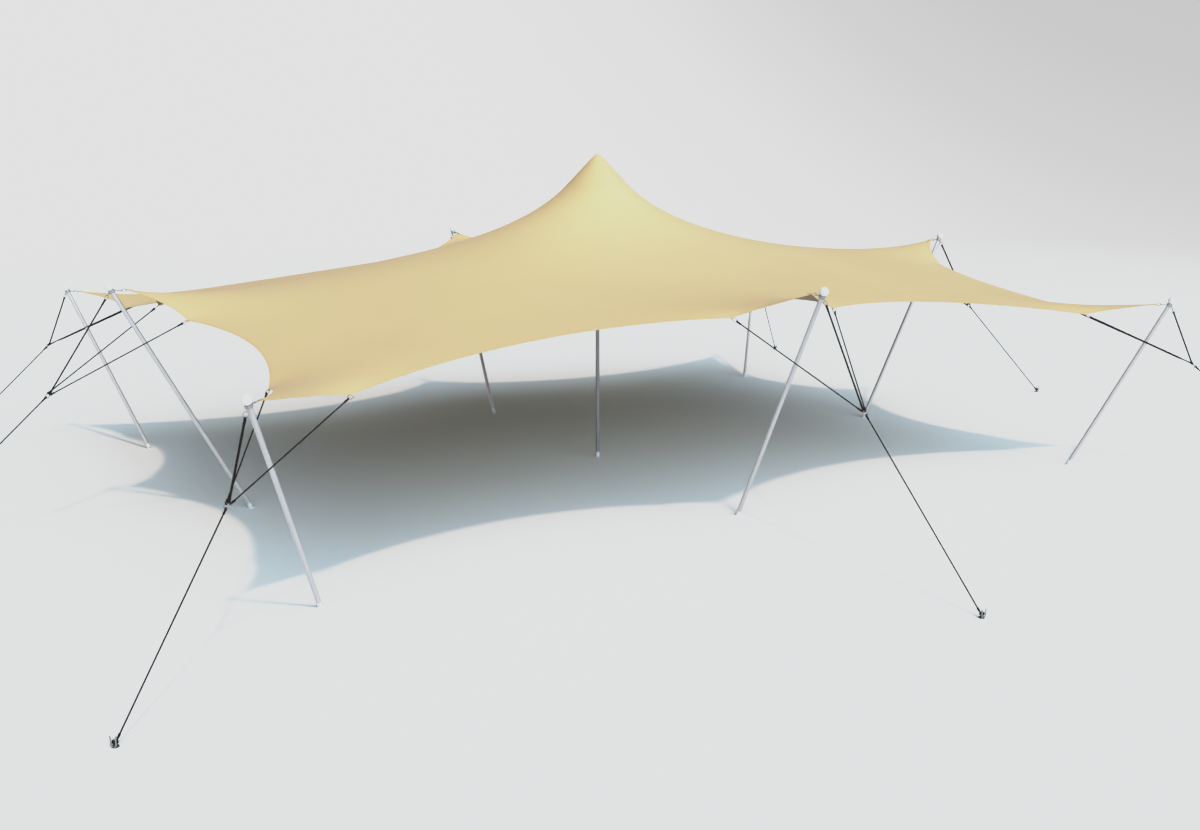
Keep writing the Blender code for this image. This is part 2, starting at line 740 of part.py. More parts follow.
def build():
    clear_scene()
    fabric = new_material("canopy_fabric", (0.72, 0.60, 0.33), 0.85)
    alloy = new_material("pole_aluminium", (0.62, 0.64, 0.66), 0.35, 0.8)
    fitting = new_material("white_fitting", (0.86, 0.86, 0.85), 0.4)
    rubber = new_material("foot_rubber", (0.72, 0.73, 0.74), 0.6)
    rope = new_material("guy_rope", (0.03, 0.03, 0.03), 0.8)
    stake = new_material("peg_steel", (0.05, 0.05, 0.055), 0.5, 0.6)

    stations = all_stations()
    points, x_lines, y_lines = stretched_sheet(stations)
    normals = sheet_normals(points, x_lines, y_lines)
    canopy = canopy_shape(points, normals)
    place("canopy", new_mesh("canopy", canopy), fabric)

    cap = turned(head_profile(CAP_BALL_RADIUS, CAP_COLLAR_DROP))
    cap_centre = Vector((0, 0, cap_height(canopy, cap)))
    pole_end = cap_centre.z - CAP_COLLAR_DROP - SEAT_GAP
    place("centre_pole", new_mesh("centre_pole", pole_shape(FOOT_SHOULDER + SEAT_GAP, pole_end)), alloy)
    place("centre_pole_foot", foot_mesh("centre_pole_foot", UP), rubber)
    cap_mesh = new_mesh("centre_pole_cap", cap)
    place("centre_pole_cap", cap_mesh, fitting, Matrix.Translation(cap_centre))

    for station in stations:
        name = station.name
        pole_end = station.pole_length - COLLAR_DROP - SEAT_GAP
        axis = station.local(station.pole_axis)
        pole = new_mesh(f"pole_{name}", pole_shape(FOOT_SHOULDER + SEAT_GAP, pole_end, axis))
        place(f"pole_{name}", pole, alloy, station.upright(station.foot))
        foot = foot_mesh(f"pole_foot_{name}", axis)
        place(f"pole_foot_{name}", foot, rubber, station.upright(station.foot))
        head = head_mesh(f"pole_head_{name}", station)
        place(f"pole_head_{name}", head, fitting, station.upright(station.head))
        contacts = eyelet_contacts(station, points, normals)
        ropes = fused(f"guy_ropes_{name}", guy_shapes(station, contacts))
        place(f"guy_ropes_{name}", ropes, rope, Matrix.Translation(station.ring))
        peg = peg_mesh(f"ground_peg_{name}")
        place(f"ground_peg_{name}", peg, stake, station.upright(station.peg))


build()
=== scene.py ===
"""The looks of a stretch tent: stretched cloth, poles, heads, straps, ropes and pegs on a pale floor.

Metres, +Z up.
"""
import math

import bpy
import numpy as np
from mathutils import Euler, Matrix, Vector


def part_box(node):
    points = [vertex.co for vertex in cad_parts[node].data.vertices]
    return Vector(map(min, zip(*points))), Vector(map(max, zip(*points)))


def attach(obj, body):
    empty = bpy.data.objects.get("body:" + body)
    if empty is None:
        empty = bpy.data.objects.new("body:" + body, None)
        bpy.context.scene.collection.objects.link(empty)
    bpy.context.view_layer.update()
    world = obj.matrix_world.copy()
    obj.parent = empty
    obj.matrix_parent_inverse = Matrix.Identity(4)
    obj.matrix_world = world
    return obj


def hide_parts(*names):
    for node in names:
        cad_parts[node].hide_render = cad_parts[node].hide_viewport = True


# Sheet, as in the construction
SHEET_LENGTH = 15.0
SHEET_WIDTH = 10.0
CANOPY_THICKNESS = 0.012
PEAK_HEIGHT = 5.0
PEAK_SLOPE = 1.05
PEAK_ROUNDING = 0.03
PEAK_CAP_REACH = 0.55
MID_EYELET_SPACING = 1.10
CORNER_EYELET_SPACING = 1.25

# Pull in the sheet lengthways, against 1 crossways, and the width of sheet whose pull each edge band adds
LENGTHWAYS_PULL = 2.85
LONG_EDGE_BAND = 3.15
SHORT_EDGE_BAND = 4.85
TIP_EDGE_BAND = 4.0

# Fine grid of the cloth
PEAK_LINES = 22
PEAK_LINE_GROWTH = 1.05
LONG_FIELD_LINES = 36
SHORT_FIELD_LINES = 22
CORNER_LINES = 14
SOLVER_TOLERANCE = 1e-6
SOLVER_STEPS = 3000

# Cloth and hem
CLOTH_THICKNESS = 0.004
HEM_THICKNESS = 0.008
HEM_WIDTH = 0.045
HEM_STEP = 0.002
HEM_FOLD_SHARE = 0.8
TAB_WIDTH = 0.025
TAB_THICKNESS = 0.003
TAB_LENGTH = 0.090
TAB_FOLD = 0.020
PATCH_RADIUS = 0.42
PATCH_THICKNESS = 0.004

# Threads of the cloth, its stitches and the webbing
WALE = 0.0025
COURSE = 0.0018
STITCH_PITCH = 0.0075
STITCH_SHARE = 0.68
STITCH_ROWS = (0.007, 0.037)
THREAD_WIDTH = 0.0011
CHEVRON_WIDTH = 0.004
WEFT_PITCH = 0.0024
WARP_PITCH = 0.0021

# Poles, heads and feet
POLE_RADIUS = 0.0315
POLE_WALL = 0.003
TUBE_EASE = 0.0008
FOOT_RADIUS = 0.042
FOOT_PAD_HEIGHT = 0.020
FOOT_START = 0.030
FOOT_SHOULDER = 0.085
FOOT_RIM = 0.004
FOOT_ROUNDING = 0.004
GROOVE_COUNT = 3
GROOVE_PITCH = 0.014
GROOVE_DEPTH = 0.0012
GROOVE_WIDTH = 0.002
GROOVE_FLANK = 0.001
SOCKET_ROUNDING = 0.0022
BALL_RADIUS = 0.060
NECK_RADIUS = 0.026
COLLAR_RIM = 0.014
COLLAR_HEIGHT = 0.040
COLLAR_DROP = 0.095
COLLAR_EDGE = 0.004
COLLAR_BAND = 0.014
COLLAR_WAIST = 0.002
COLLAR_ROUNDING = 0.0015
CAP_BALL_RADIUS = 0.075
CAP_COLLAR_DROP = 0.110
SEAT_GAP = 0.0003

# Steel eyes and rings
ROD = 0.009
STEM = 0.013
NUT_HEIGHT = 0.010
NUT_CHAMFER = 0.001
BOSS_START = -0.012
BOSS_WIDEST = -0.002
BOSS_END = 0.006
BOSS_ROUNDING = 0.004
INNER_EYE_REACH = 0.200
OUTER_EYE_REACH = 0.110
EYE_RADIUS = 0.032
EYELET_RING_LENGTH = 0.085
EYELET_RING_WIDTH = 0.062
EYELET_RING_OUT = 0.010
EYELET_RING_DROP = 0.006
GUY_RING_RADIUS = 0.040
GUY_RING_ROD = 0.012
TIP_EYE_TILT = math.radians(35)
END_EYE_TURN = math.radians(25)
STRAP_TWIST = math.radians(180)
LEG_ANGLE = math.radians(45)

# Ropes, straps and pegs
ROPE_RADIUS = 0.0083
HEAD_ROPE_RADIUS = 0.0115
STRAP_WIDTH = 0.030
STRAP_THICKNESS = 0.004
STRAP_SEWN_LENGTH = 0.085
STRAP_OVERLAP = 0.012
STRAP_TAIL = 0.010
STRANDS_AROUND = 4
ROPE_EYE_SHARE = 0.9
ROPE_EYE_GAP = 0.55
ROPE_EYE_REACH = 2.1
EYE_OPENING = 120
EYE_NECK_SHARE = 0.75
WHIPPING_RADIUS = 0.0125
WHIPPING_LENGTH = 0.045
WHIPPING_TURNS = 9
WHIPPING_CORD = 0.0010
WHIPPING_START = 0.008
PEG_WHIPPING_GAP = 0.022
PEG_RADIUS = 0.014
PEG_HEIGHT = 0.080
PEG_BASE_RADIUS = 0.036
PEG_BASE_HEIGHT = 0.016
PEG_BASE_SLOPE = 0.006
PEG_HEAD_RIM = 0.003
PEG_HEAD_HEIGHT = 0.006
PEG_FACE_HEIGHT = 0.004
PEG_FACE_EASE = 0.001
PEG_ROUNDING = 0.002
WORN_LENGTH = 0.02
ROPE_AIM_HEIGHT = 0.032
ROPE_TURNS_HEIGHT = 0.052
FORK_REACH = 0.0276
FORK_HEIGHT = 0.122
FORK_ROD = 0.013
FORK_LIFT = 0.002
HORN_LENGTH = 0.028
HORN_FLARE = 0.008

# Numbers of sides and steps of the round pieces
TUBE_SIDES = 40
BALL_STEPS = 20
ROD_SIDES = 12
ROPE_SIDES = 14
ARC_STEPS = 12
HEAD_SIDES = 48
BOSS_SIDES = 20
WHIPPING_SIDES = 20
PEG_SIDES = 32
PATCH_RINGS = 14
PATCH_SIDES = 72
RING_STEPS = 36
FORK_STEPS = 20
STRAP_STEPS = 32
NEAR_AXIS = 0.001
SHARP_ANGLE = math.radians(40)

# Places along a strap, and the share of its twist that is made by each
TWIST_SPREAD = [(0, 0), (0.12, 0.5), (0.88, 0.5), (1, 1)]

# View and light. Each sky light has its direction, the cosines where it starts and is full, and its colour
CAMERA_PLACE = (-10.995, -18.586, 5.550)
CAMERA_YAW = math.radians(30.715)
CAMERA_PITCH = math.radians(12.627)
SENSOR_WIDTH = 36.0
FOCAL_LENGTH = 39.78
TO_SUN = (-0.056, -0.636, 1.0)
SUN_STRENGTH = 1.24
SUN_COLOUR = (1.0, 0.774, 0.597)
SUN_ANGLE = math.radians(2.6)
SKY_LIGHTS = [
    ((0, 0, 1), 0.70, 0.98, (0.385, 0.375, 0.289)),
    ((0, -0.80, 0.60), 0.50, 0.95, (1.65, 2.12, 2.60)),
    ((0, -0.966, 0.26), 0.80, 0.98, (1.31, 1.76, 1.66)),
]
BACKDROP_LIGHT = 1.038
BACKDROP_DARK = 0.581
REFLECTED_BACKDROP = 0.70
DARK_SIDE = (0.786, 0.444, 0.430)
DARK_SPREAD = (0.729, 0.930)
FLOOR_TONES = (0.943, 0.957)
BRIGHTEST_INPUT = 2.0
HIGHLIGHTS = [(0, 0), (0.31, 0.62), (0.40, 0.723), (0.475, 0.750), (0.60, 0.762), (1, 0.765)]
FLOOR_RADIUS = 60.0
FLOOR_FADE_START = 20.0
FLOOR_FADE_END = 48.0
FLOOR_SIDES = 96
SURFACE_MAP = "Surface"

UP = np.array([0.0, 0.0, 1.0])

# One station of each kind, on the +X or +Y side
CORNER = {
    "foot": (6.35, 4.40, 0.0),
    "head": (7.33, 5.35, 2.74),
    "ring": (7.66, 5.61, 1.73),
    "peg": (9.12, 6.85, 0.0),
    "eyelets": ((6.00, 4.81, 2.56), (6.66, 3.86, 2.52)),
}
END = {
    "foot": (5.87, 0.0, 0.0),
    "head": (7.61, 0.0, 3.345),
    "ring": (8.49, 0.0, 1.95),
    "peg": (10.60, 0.0, 0.0),
    "eyelets": ((6.80, -0.84, 2.935), (6.80, 0.84, 2.935)),
}
SIDE = {
    "foot": (0.0, 3.93, 0.0),
    "head": (0.0, 5.64, 3.40),
    "ring": (0.0, 6.49, 1.99),
    "peg": (0.0, 8.58, 0.0),
    "eyelets": ((-0.85, 4.85, 3.03), (0.85, 4.85, 3.03)),
}

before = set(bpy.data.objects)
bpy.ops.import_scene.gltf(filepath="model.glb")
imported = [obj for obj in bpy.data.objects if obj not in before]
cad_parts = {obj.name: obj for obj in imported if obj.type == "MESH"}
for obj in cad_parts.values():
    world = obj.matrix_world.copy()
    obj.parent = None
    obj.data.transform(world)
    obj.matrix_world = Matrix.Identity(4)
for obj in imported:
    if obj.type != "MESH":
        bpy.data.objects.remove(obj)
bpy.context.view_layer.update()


def unit(vector):
    vector = np.asarray(vector, float)
    return vector / np.linalg.norm(vector, axis=-1, keepdims=True)


def rotated(vector, axis, angle):
    """The vector turned about an axis. The angle is one number, or a column with one for each row."""
    along = axis * vector.dot(axis)
    return along + (vector - along) * np.cos(angle) + np.cross(axis, vector) * np.sin(angle)


class Station:
    """The key points of one leaning pole and its guy."""

    def __init__(self, name, kind, x_sign, y_sign, broad_leg=0):
        turn = np.array([x_sign, y_sign, 1.0])
        self.name = name
        self.foot = turn * kind["foot"]
        self.head = turn * kind["head"]
        self.ring = turn * kind["ring"]
        self.peg = turn * kind["peg"]
        self.eyelets = [turn * eyelet for eyelet in kind["eyelets"]]
        self.side = (0 if kind is SIDE else x_sign, 0 if kind is END else y_sign)
        self.broad_leg = broad_leg
        run = self.head - self.foot
        self.length = np.linalg.norm(run)
        self.axis = unit(run)
        self.outward = unit(run * (1, 1, 0))
        self.sideways = np.cross(UP, self.outward)
        collar = self.head - self.axis * (COLLAR_DROP - COLLAR_HEIGHT / 2)
        collar_side = unit(self.outward - self.axis * self.outward.dot(self.axis))
        self.tip_root = collar + self.axis * (COLLAR_HEIGHT / 4)
        self.tip = self.tip_root - self.outward * (INNER_EYE_REACH + SEAT_GAP)
        self.strap_root = collar + collar_side * (POLE_RADIUS + COLLAR_RIM - ROD)
        self.rope_aim = self.peg + UP * ROPE_AIM_HEIGHT
        self.rope_line = unit(self.ring - self.rope_aim)
        ring_side = unit(np.cross(UP, self.rope_line))
        turned_by = END_EYE_TURN if kind is END else 0.0
        self.ring_side = rotated(ring_side, self.rope_line, turned_by)
        self.eyelet_signs = [math.copysign(1, ring_side.dot(eyelet - self.head)) for eyelet in self.eyelets]
        self.ring_top = self.ring + self.rope_line * GUY_RING_RADIUS
        self.strap_line = unit(self.ring_top - self.strap_root)
        self.strap_side = rotated(self.sideways, self.strap_line, -turned_by)
        self.tip_side = rotated(self.sideways, self.outward, TIP_EYE_TILT)


STATIONS = [
    Station("front_left", CORNER, -1, -1),
    Station("front_right", CORNER, 1, -1, broad_leg=1),
    Station("back_left", CORNER, -1, 1, broad_leg=1),
    Station("back_right", CORNER, 1, 1),
    Station("left", END, -1, 1),
    Station("right", END, 1, 1),
    Station("front", SIDE, 1, -1),
    Station("back", SIDE, 1, 1),
]


def run_of(points):
    """How far along its line each point lies."""
    return np.concatenate([[0], np.cumsum(np.linalg.norm(np.diff(points, axis=0), axis=1))])


def cell_corners(grid):
    """The four corners of each cell of a grid, in turn along its third axis."""
    before, after = slice(None, -1), slice(1, None)
    return np.stack([grid[before, before], grid[before, after], grid[after, after], grid[after, before]], 2)


class Shape:
    """Closed surfaces of one piece. Each face corner has a place on the surface: metres around and along."""

    def __init__(self):
        self.points = []
        self.count = 0
        self.faces = []
        self.places = []
        self.finishes = []

    def add(self, faces, places, finish):
        self.faces += faces.tolist()
        self.places.append(places.reshape(-1, 2))
        self.finishes.append(np.full(len(faces), finish, np.int32))

    def skin(self, rings, around, along, joined=False, finish=0):
        """Faces between following rings, n by m by 3, that run anticlockwise seen from the last one."""
        rings = np.asarray(rings, float)
        rows, columns = rings.shape[:2]
        numbers = self.count + np.arange(rows * columns).reshape(rows, columns)
        self.points.append(rings.reshape(-1, 3))
        self.count += rows * columns
        numbers = np.hstack([numbers, numbers[:, :1]])
        if joined:
            numbers = np.vstack([numbers, numbers[:1]])
        spots = np.stack(np.meshgrid(around, along), -1)
        self.add(cell_corners(numbers).reshape(-1, 4), cell_corners(spots), finish)
        if not joined:
            self.fan(numbers[0][::-1], rings[0].mean(0), spots[0][::-1], finish)
            self.fan(numbers[-1], rings[-1].mean(0), spots[-1], finish)

    def fan(self, numbers, tip, spots, finish):
        """Closes a ring with a fan of triangles to its tip."""
        middle = np.full(len(numbers) - 1, self.count)
        self.points.append(np.asarray(tip, float).reshape(1, 3))
        self.count += 1
        places = np.stack([spots[:-1], spots[1:], (spots[:-1] + spots[1:]) / 2], 1)
        self.add(np.stack([numbers[:-1], numbers[1:], middle], 1), places, finish)

    def swept(self, route, across, section, joined=False, finish=0):
        """A section carried along a route. Its first coordinate lies along the direction across."""
        route = np.asarray(route, float)
        if joined:
            ahead = unit(np.roll(route, -1, 0) - np.roll(route, 1, 0))
        else:
            ahead = unit(np.gradient(route, axis=0))
        thin = unit(np.cross(ahead, across))
        wide = np.cross(thin, ahead)
        section = np.asarray(section, float)
        rings = route[:, None] + wide[:, None] * section[:, :1] + thin[:, None] * section[:, 1:]
        along = run_of(np.vstack([route, route[:1]]) if joined else route)
        self.skin(rings, run_of(np.vstack([section, section[:1]])), along, joined, finish)

    def turned(self, origin, axis, profile, sides=TUBE_SIDES, joined=False, finish=0):
        """A turned shape. Its (radius, height) outline goes up its outer side."""
        axis = unit(axis)
        first = unit(np.cross(axis, (0.36, 0.48, 0.80) if abs(axis[2]) < 0.9 else (0.96, 0.28, 0.0)))
        second = np.cross(axis, first)
        profile = np.asarray(profile, float)
        angle = math.tau * np.arange(sides + 1) / sides
        round_about = np.cos(angle[:-1])[:, None] * first + np.sin(angle[:-1])[:, None] * second
        rings = origin + profile[:, :1, None] * round_about + profile[:, 1:, None] * axis
        along = run_of(np.vstack([profile, profile[:1]]) if joined else profile)
        self.skin(rings, angle * profile[:, 0].max(), along, joined, finish)

    def made(self, name, materials, slot, replaced=()):
        """The finished piece, riding on the tent."""
        mesh = bpy.data.meshes.new(name)
        mesh.from_pydata(np.concatenate(self.points), [], self.faces)
        layer = mesh.uv_layers.new(name=SURFACE_MAP)
        layer.uv.foreach_set("vector", np.concatenate(self.places).astype(np.float32).ravel())
        for material in materials:
            mesh.materials.append(material)
        mesh.polygons.foreach_set("material_index", np.concatenate(self.finishes))
        mesh.shade_smooth()
        mesh.set_sharp_from_angle(angle=SHARP_ANGLE)
        piece = bpy.data.objects.new(name, mesh)
        bpy.context.scene.collection.objects.link(piece)
        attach(piece, "root")
        if replaced:
            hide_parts(*replaced)
        return piece


def round_section(radius, sides=ROD_SIDES):
    angle = math.tau * np.arange(sides) / sides
    return np.stack([radius * np.cos(angle), radius * np.sin(angle)], 1)


def flat_section(width, thickness):
    """A flat bar's outline with its corners cut."""
    half, thin, cut = width / 2, thickness / 2, thickness / 4
    quarter = [(half, thin - cut), (half - cut, thin)]
    upper = quarter + [(-x, y) for x, y in reversed(quarter)]
    return np.array(upper + [(-x, -y) for x, y in upper])


def eased(corners, size, steps=4):
    """The outline with its inner corners rounded off."""
    corners = np.asarray(corners, float)
    outline = [corners[0]]
    share = np.linspace(0, 1, steps + 1)[:, None]
    for before, corner, after in zip(corners, corners[1:], corners[2:]):
        start, end = before - corner, after - corner
        start = corner + start * min(0.49, size / np.linalg.norm(start))
        end = corner + end * min(0.49, size / np.linalg.norm(end))
        outline.extend((1 - share) ** 2 * start + 2 * share * (1 - share) * corner + share ** 2 * end)
    outline.append(corners[-1])
    return np.array(outline)


def arc(centre, first, second, radius, start, end, steps=ARC_STEPS):
    """Points of an arc in the plane of two directions."""
    angle = np.linspace(math.radians(start), math.radians(end), steps + 1)[:, None]
    return centre + radius * (np.cos(angle) * first + np.sin(angle) * second)


# Materials


class Value:
    """What a shader node gives. Sums and the methods add nodes that work on it."""

    def __init__(self, socket):
        self.socket = socket

    def into(self, kind, inputs, output=0, **settings):
        """What a new node of the same tree gives. The inputs say where this value goes."""
        return Value(node(self.socket.id_data, kind, inputs, **settings).outputs[output])

    def maths(self, operation, *others):
        return self.into("Math", dict(enumerate((self, *others))), operation=operation)

    def __add__(self, other):
        return self.maths("ADD", other)

    def __sub__(self, other):
        return self.maths("SUBTRACT", other)

    def __mul__(self, other):
        return self.maths("MULTIPLY", other)

    def __lt__(self, other):
        return self.maths("LESS_THAN", other)

    def __abs__(self):
        return self.maths("ABSOLUTE")

    def wave(self, length):
        """A sine wave, with one period for each length."""
        return (self * (math.tau / length)).maths("SINE")

    def noise(self, scale, detail=3.0, roughness=0.5):
        inputs = {"Vector": self, "Scale": scale, "Detail": detail, "Roughness": roughness}
        return self.into("TexNoise", inputs, "Fac")

    def stretched(self, *scale):
        return self.into("Mapping", {"Vector": self, "Scale": scale})

    def between(self, low, high, start=0.0, end=1.0, kind="LINEAR"):
        """From low to high while this value goes from start to end."""
        inputs = {"Value": self, "From Min": start, "From Max": end, "To Min": low, "To Max": high}
        return self.into("MapRange", inputs, interpolation_type=kind)

    def choice(self, first, second):
        """The first colour, a Value, where this value is 0, and the plain second one where it is 1."""
        return self.into("Mix", {0: self, 6: first, 7: (*second, 1.0)}, 2, data_type="RGBA")

    def tones(self, *stops):
        """The colour that a ramp with (place, colour) stops has at this value."""
        ramp = node(self.socket.id_data, "ValToRGB", {"Fac": self})
        elements = ramp.color_ramp.elements
        while len(elements) < len(stops):
            elements.new(1.0)
        for element, (place, colour) in zip(elements, stops):
            element.position = place
            element.color = (*colour, 1.0)
        return Value(ramp.outputs[0])


def node(tree, kind, inputs=None, **settings):
    """A shader node. Each input is a plain value, or the Value that feeds it."""
    made = tree.nodes.new("ShaderNode" + kind)
    for name, value in settings.items():
        setattr(made, name, value)
    for key, value in (inputs or {}).items():
        feed(made.inputs[key], value)
    return made


def feed(socket, value):
    if isinstance(value, Value):
        socket.id_data.links.new(value.socket, socket)
    else:
        socket.default_value = value


def shaded(colour, factor):
    return tuple(part * factor for part in colour)


def new_material(name):
    """A material, and what gives the place in space of each point that it covers."""
    material = bpy.data.materials.new(name)
    material.use_nodes = True
    return material, Value(node(material.node_tree, "TexCoord").outputs["Object"])


def surface_place(material):
    """Metres around and along a piece: both at once, and then each by itself."""
    place = Value(node(material.node_tree, "UVMap", uv_map=SURFACE_MAP).outputs[0])
    parts = node(material.node_tree, "SeparateXYZ", {"Vector": place})
    return place, Value(parts.outputs[0]), Value(parts.outputs[1])


def finished(material, colour, roughness, height, distance, strength, **plain):
    """The material with its colour, roughness and bump, and plain values for other inputs of its shader."""
    shader = material.node_tree.nodes["Principled BSDF"]
    feed(shader.inputs["Base Color"], colour)
    feed(shader.inputs["Roughness"], roughness)
    bump = height.into("Bump", {"Height": height, "Distance": distance, "Strength": strength})
    feed(shader.inputs["Normal"], bump)
    for name, value in plain.items():
        feed(shader.inputs[name.replace("_", " ")], value)
    return material


def cloth_material(name, colour, stitched=False):
    """Stretch knit with slightly uneven dye. On the hem two rows of stitches run along the edge."""
    material, spot = new_material(name)
    place, u, v = surface_place(material)
    fine = place.noise(260.0, 4.0, 0.6)
    uneven = spot.noise(0.55, 2.0) * 0.7 + fine * 0.3
    dye = uneven.tones((0.30, shaded(colour, 0.955)), (0.50, colour), (0.72, shaded(colour, 1.035)))
    rib = abs(u.wave(2 * WALE))
    loops = rib + (v * (math.tau / COURSE) + rib * 2.2).maths("SINE") * 0.3
    if stitched:
        thread = stitches(u, v)
        dye = thread.choice(dye, shaded(colour, 0.62))
        loops = loops - thread * 3.0
    return finished(material, dye, fine.between(0.74, 0.92), loops, 0.0004, 0.55,
                    Sheen_Weight=0.15, Specular_IOR_Level=0.25)


def stitches(u, v):
    """1 on the threads of the rows of stitches inside the sheet's edge."""
    beyond_edge = (abs(u) - SHEET_LENGTH / 2).maths("MAXIMUM", abs(v) - SHEET_WIDTH / 2)
    first, second = [abs(beyond_edge + row) < THREAD_WIDTH for row in STITCH_ROWS]
    dash = (u + v).maths("DIVIDE", STITCH_PITCH).maths("FRACT") < STITCH_SHARE
    return first.maths("MAXIMUM", second) * dash


def webbing_material(name, colour):
    """Flat woven webbing: cross ribs of chevrons, and the yarns along it."""
    material, _ = new_material(name)
    place, u, v = surface_place(material)
    lean = u.maths("PINGPONG", CHEVRON_WIDTH) * 1.4
    weave = (v + lean).wave(WEFT_PITCH) * 0.6 + u.wave(WARP_PITCH) * 0.4
    worn = place.noise(60.0, 5.0, 0.65)
    # The weave lightens the colour on its ridges and darkens it in its hollows: painted highlight and painted
    # shade, over random wear.
    tint = (weave * 0.18 + worn).tones((0.25, shaded(colour, 0.55)), (0.75, shaded(colour, 1.5)))
    return finished(material, tint, worn.between(0.62, 0.88), weave, 0.0005, 0.8, Specular_IOR_Level=0.1)


def rope_material(name, colour):
    """Braided rope: two sets of strands that cross round it."""
    material, _ = new_material(name)
    place, u, v = surface_place(material)
    strand = math.tau * ROPE_RADIUS / STRANDS_AROUND
    braid = abs((u + v).wave(strand) * (u - v).wave(strand))
    fibre = place.stretched(900.0, 220.0, 1.0).noise(1.0)
    mixed = braid * 0.7 + fibre * 0.3
    # The braid darkens the colour in the grooves between strands and lightens it on their crowns: painted
    # shade and painted highlight, over random fibre tone.
    tint = mixed.tones((0.05, shaded(colour, 0.35)), (0.60, colour), (1.0, shaded(colour, 1.6)))
    return finished(material, tint, fibre.between(0.60, 0.85), braid.maths("POWER", 0.5), 0.0011, 0.8,
                    Specular_IOR_Level=0.1)


def alloy_material(name, colour, roughness, metallic):
    """Drawn tube: fine streaks along it, with soft scuffs and handling marks."""
    material, _ = new_material(name)
    place = surface_place(material)[0]
    streak = place.stretched(420.0, 5.0, 1.0).noise(1.0, 4.0, 0.6)
    scuff = place.stretched(16.0, 3.0, 1.0).noise(1.0, 5.0, 0.7)
    mixed = streak * 0.5 + scuff * 0.5
    tint = mixed.tones((0.28, shaded(colour, 0.86)), (0.50, colour), (0.72, shaded(colour, 1.08)))
    return finished(material, tint, mixed.between(roughness - 0.10, roughness + 0.16), streak, 0.00012, 0.5,
                    Metallic=metallic)


def galvanised_material(name, colour):
    """Zinc-coated steel with soft spangles and duller patches."""
    material, spot = new_material(name)
    cells = spot.into("TexVoronoi", {"Vector": spot, "Scale": 220.0}, "Color")
    dull = spot.noise(45.0, 4.0, 0.6)
    mixed = cells.into("SeparateColor", {"Color": cells}) * 0.35 + dull * 0.65
    tint = mixed.tones((0.25, shaded(colour, 0.80)), (0.75, shaded(colour, 1.10)))
    return finished(material, tint, mixed.between(0.26, 0.52), dull, 0.0003, 0.3, Metallic=0.9)


def moulded_material(name, colour, roughness=0.38):
    """Moulded plastic with a fine satin grain and faint marks of use."""
    material, spot = new_material(name)
    marks = spot.noise(28.0, 5.0, 0.7)
    tint = marks.tones((0.30, shaded(colour, 0.93)), (0.55, colour), (1.0, shaded(colour, 1.02)))
    return finished(material, tint, marks.between(roughness + 0.14, roughness - 0.08), spot.noise(900.0, 2.0),
                    0.0001, 0.5)


def painted_material(name, paint, bare, top):
    """Dark paint on steel, worn to bare metal by hammering at its top."""
    material, spot = new_material(name)
    height = spot.into("SeparateXYZ", {"Vector": spot}, 2)
    chips = spot.noise(120.0, 5.0, 0.7)
    worn = (height.between(0.0, 0.35, top - WORN_LENGTH, top) + chips).between(0.0, 1.0, 0.66, 0.74)
    tint = chips.tones((0.3, shaded(paint, 0.8)), (0.7, shaded(paint, 1.3)))
    colour = worn.choice(tint, bare)
    return finished(material, colour, worn.between(0.48, 0.34), chips, 0.0004, 0.4, Metallic=0.3)


CLOTH_TOP = cloth_material("cloth_top", (0.68, 0.476, 0.233))
# The underside and its hem are the same cloth as the top, coloured about a third as bright: painted shade for
# the shade under the canopy.
CLOTH_UNDER_PAINTED_SHADE = cloth_material("cloth_underside_painted_shade", (0.21, 0.125, 0.040))
HEM_TOP = cloth_material("hem_top", (0.67, 0.466, 0.228), stitched=True)
HEM_UNDER_PAINTED_SHADE = cloth_material("hem_underside_painted_shade", (0.205, 0.12, 0.038), stitched=True)
SAND_WEBBING = webbing_material("sand_webbing", (0.58, 0.43, 0.21))
BLACK_WEBBING = webbing_material("black_webbing", (0.015, 0.012, 0.010))
ROPE = rope_material("braided_rope", (0.020, 0.015, 0.012))
WHIPPING = rope_material("whipping", (0.012, 0.011, 0.010))
ALLOY = alloy_material("drawn_aluminium", (0.57, 0.54, 0.55), 0.42, 0.70)
# The centre pole gets a copy of the pole alloy at about half the brightness: painted shade for the shade
# under the canopy.
PAINTED_SHADE_ALLOY = alloy_material("centre_aluminium_painted_shade", (0.29, 0.28, 0.285), 0.46, 0.70)
COLLAR = alloy_material("collar_aluminium", (0.36, 0.345, 0.35), 0.36, 0.70)
STEEL = galvanised_material("galvanised_steel", (0.34, 0.34, 0.35))
WHITE = moulded_material("white_moulding", (0.86, 0.86, 0.85))
FOOT = moulded_material("pale_rubber", (0.70, 0.71, 0.72), 0.55)
PEG_PAINT = painted_material("dark_paint", (0.030, 0.031, 0.034), (0.45, 0.46, 0.48), PEG_HEIGHT)


# Canopy


def grown_steps(start, end, count, growth):
    """Places from start to end, each step longer than the one before by the growth."""
    steps = growth ** np.arange(count)
    return start + (end - start) * np.concatenate([[0], np.cumsum(steps) / steps.sum()])


def sheet_lines(half, field_lines):
    """The sheet's grid lines on both sides of its centre, with one through each eyelet."""
    corner_eyelet = half - CORNER_EYELET_SPACING
    near_peak = grown_steps(0, MID_EYELET_SPACING, PEAK_LINES, PEAK_LINE_GROWTH)
    field = np.linspace(MID_EYELET_SPACING, corner_eyelet, field_lines + 1)
    corner = np.linspace(corner_eyelet, half, CORNER_LINES + 1)
    one_side = np.concatenate([near_peak, field[1:], corner[1:]])
    return np.concatenate([-one_side[:0:-1], one_side])


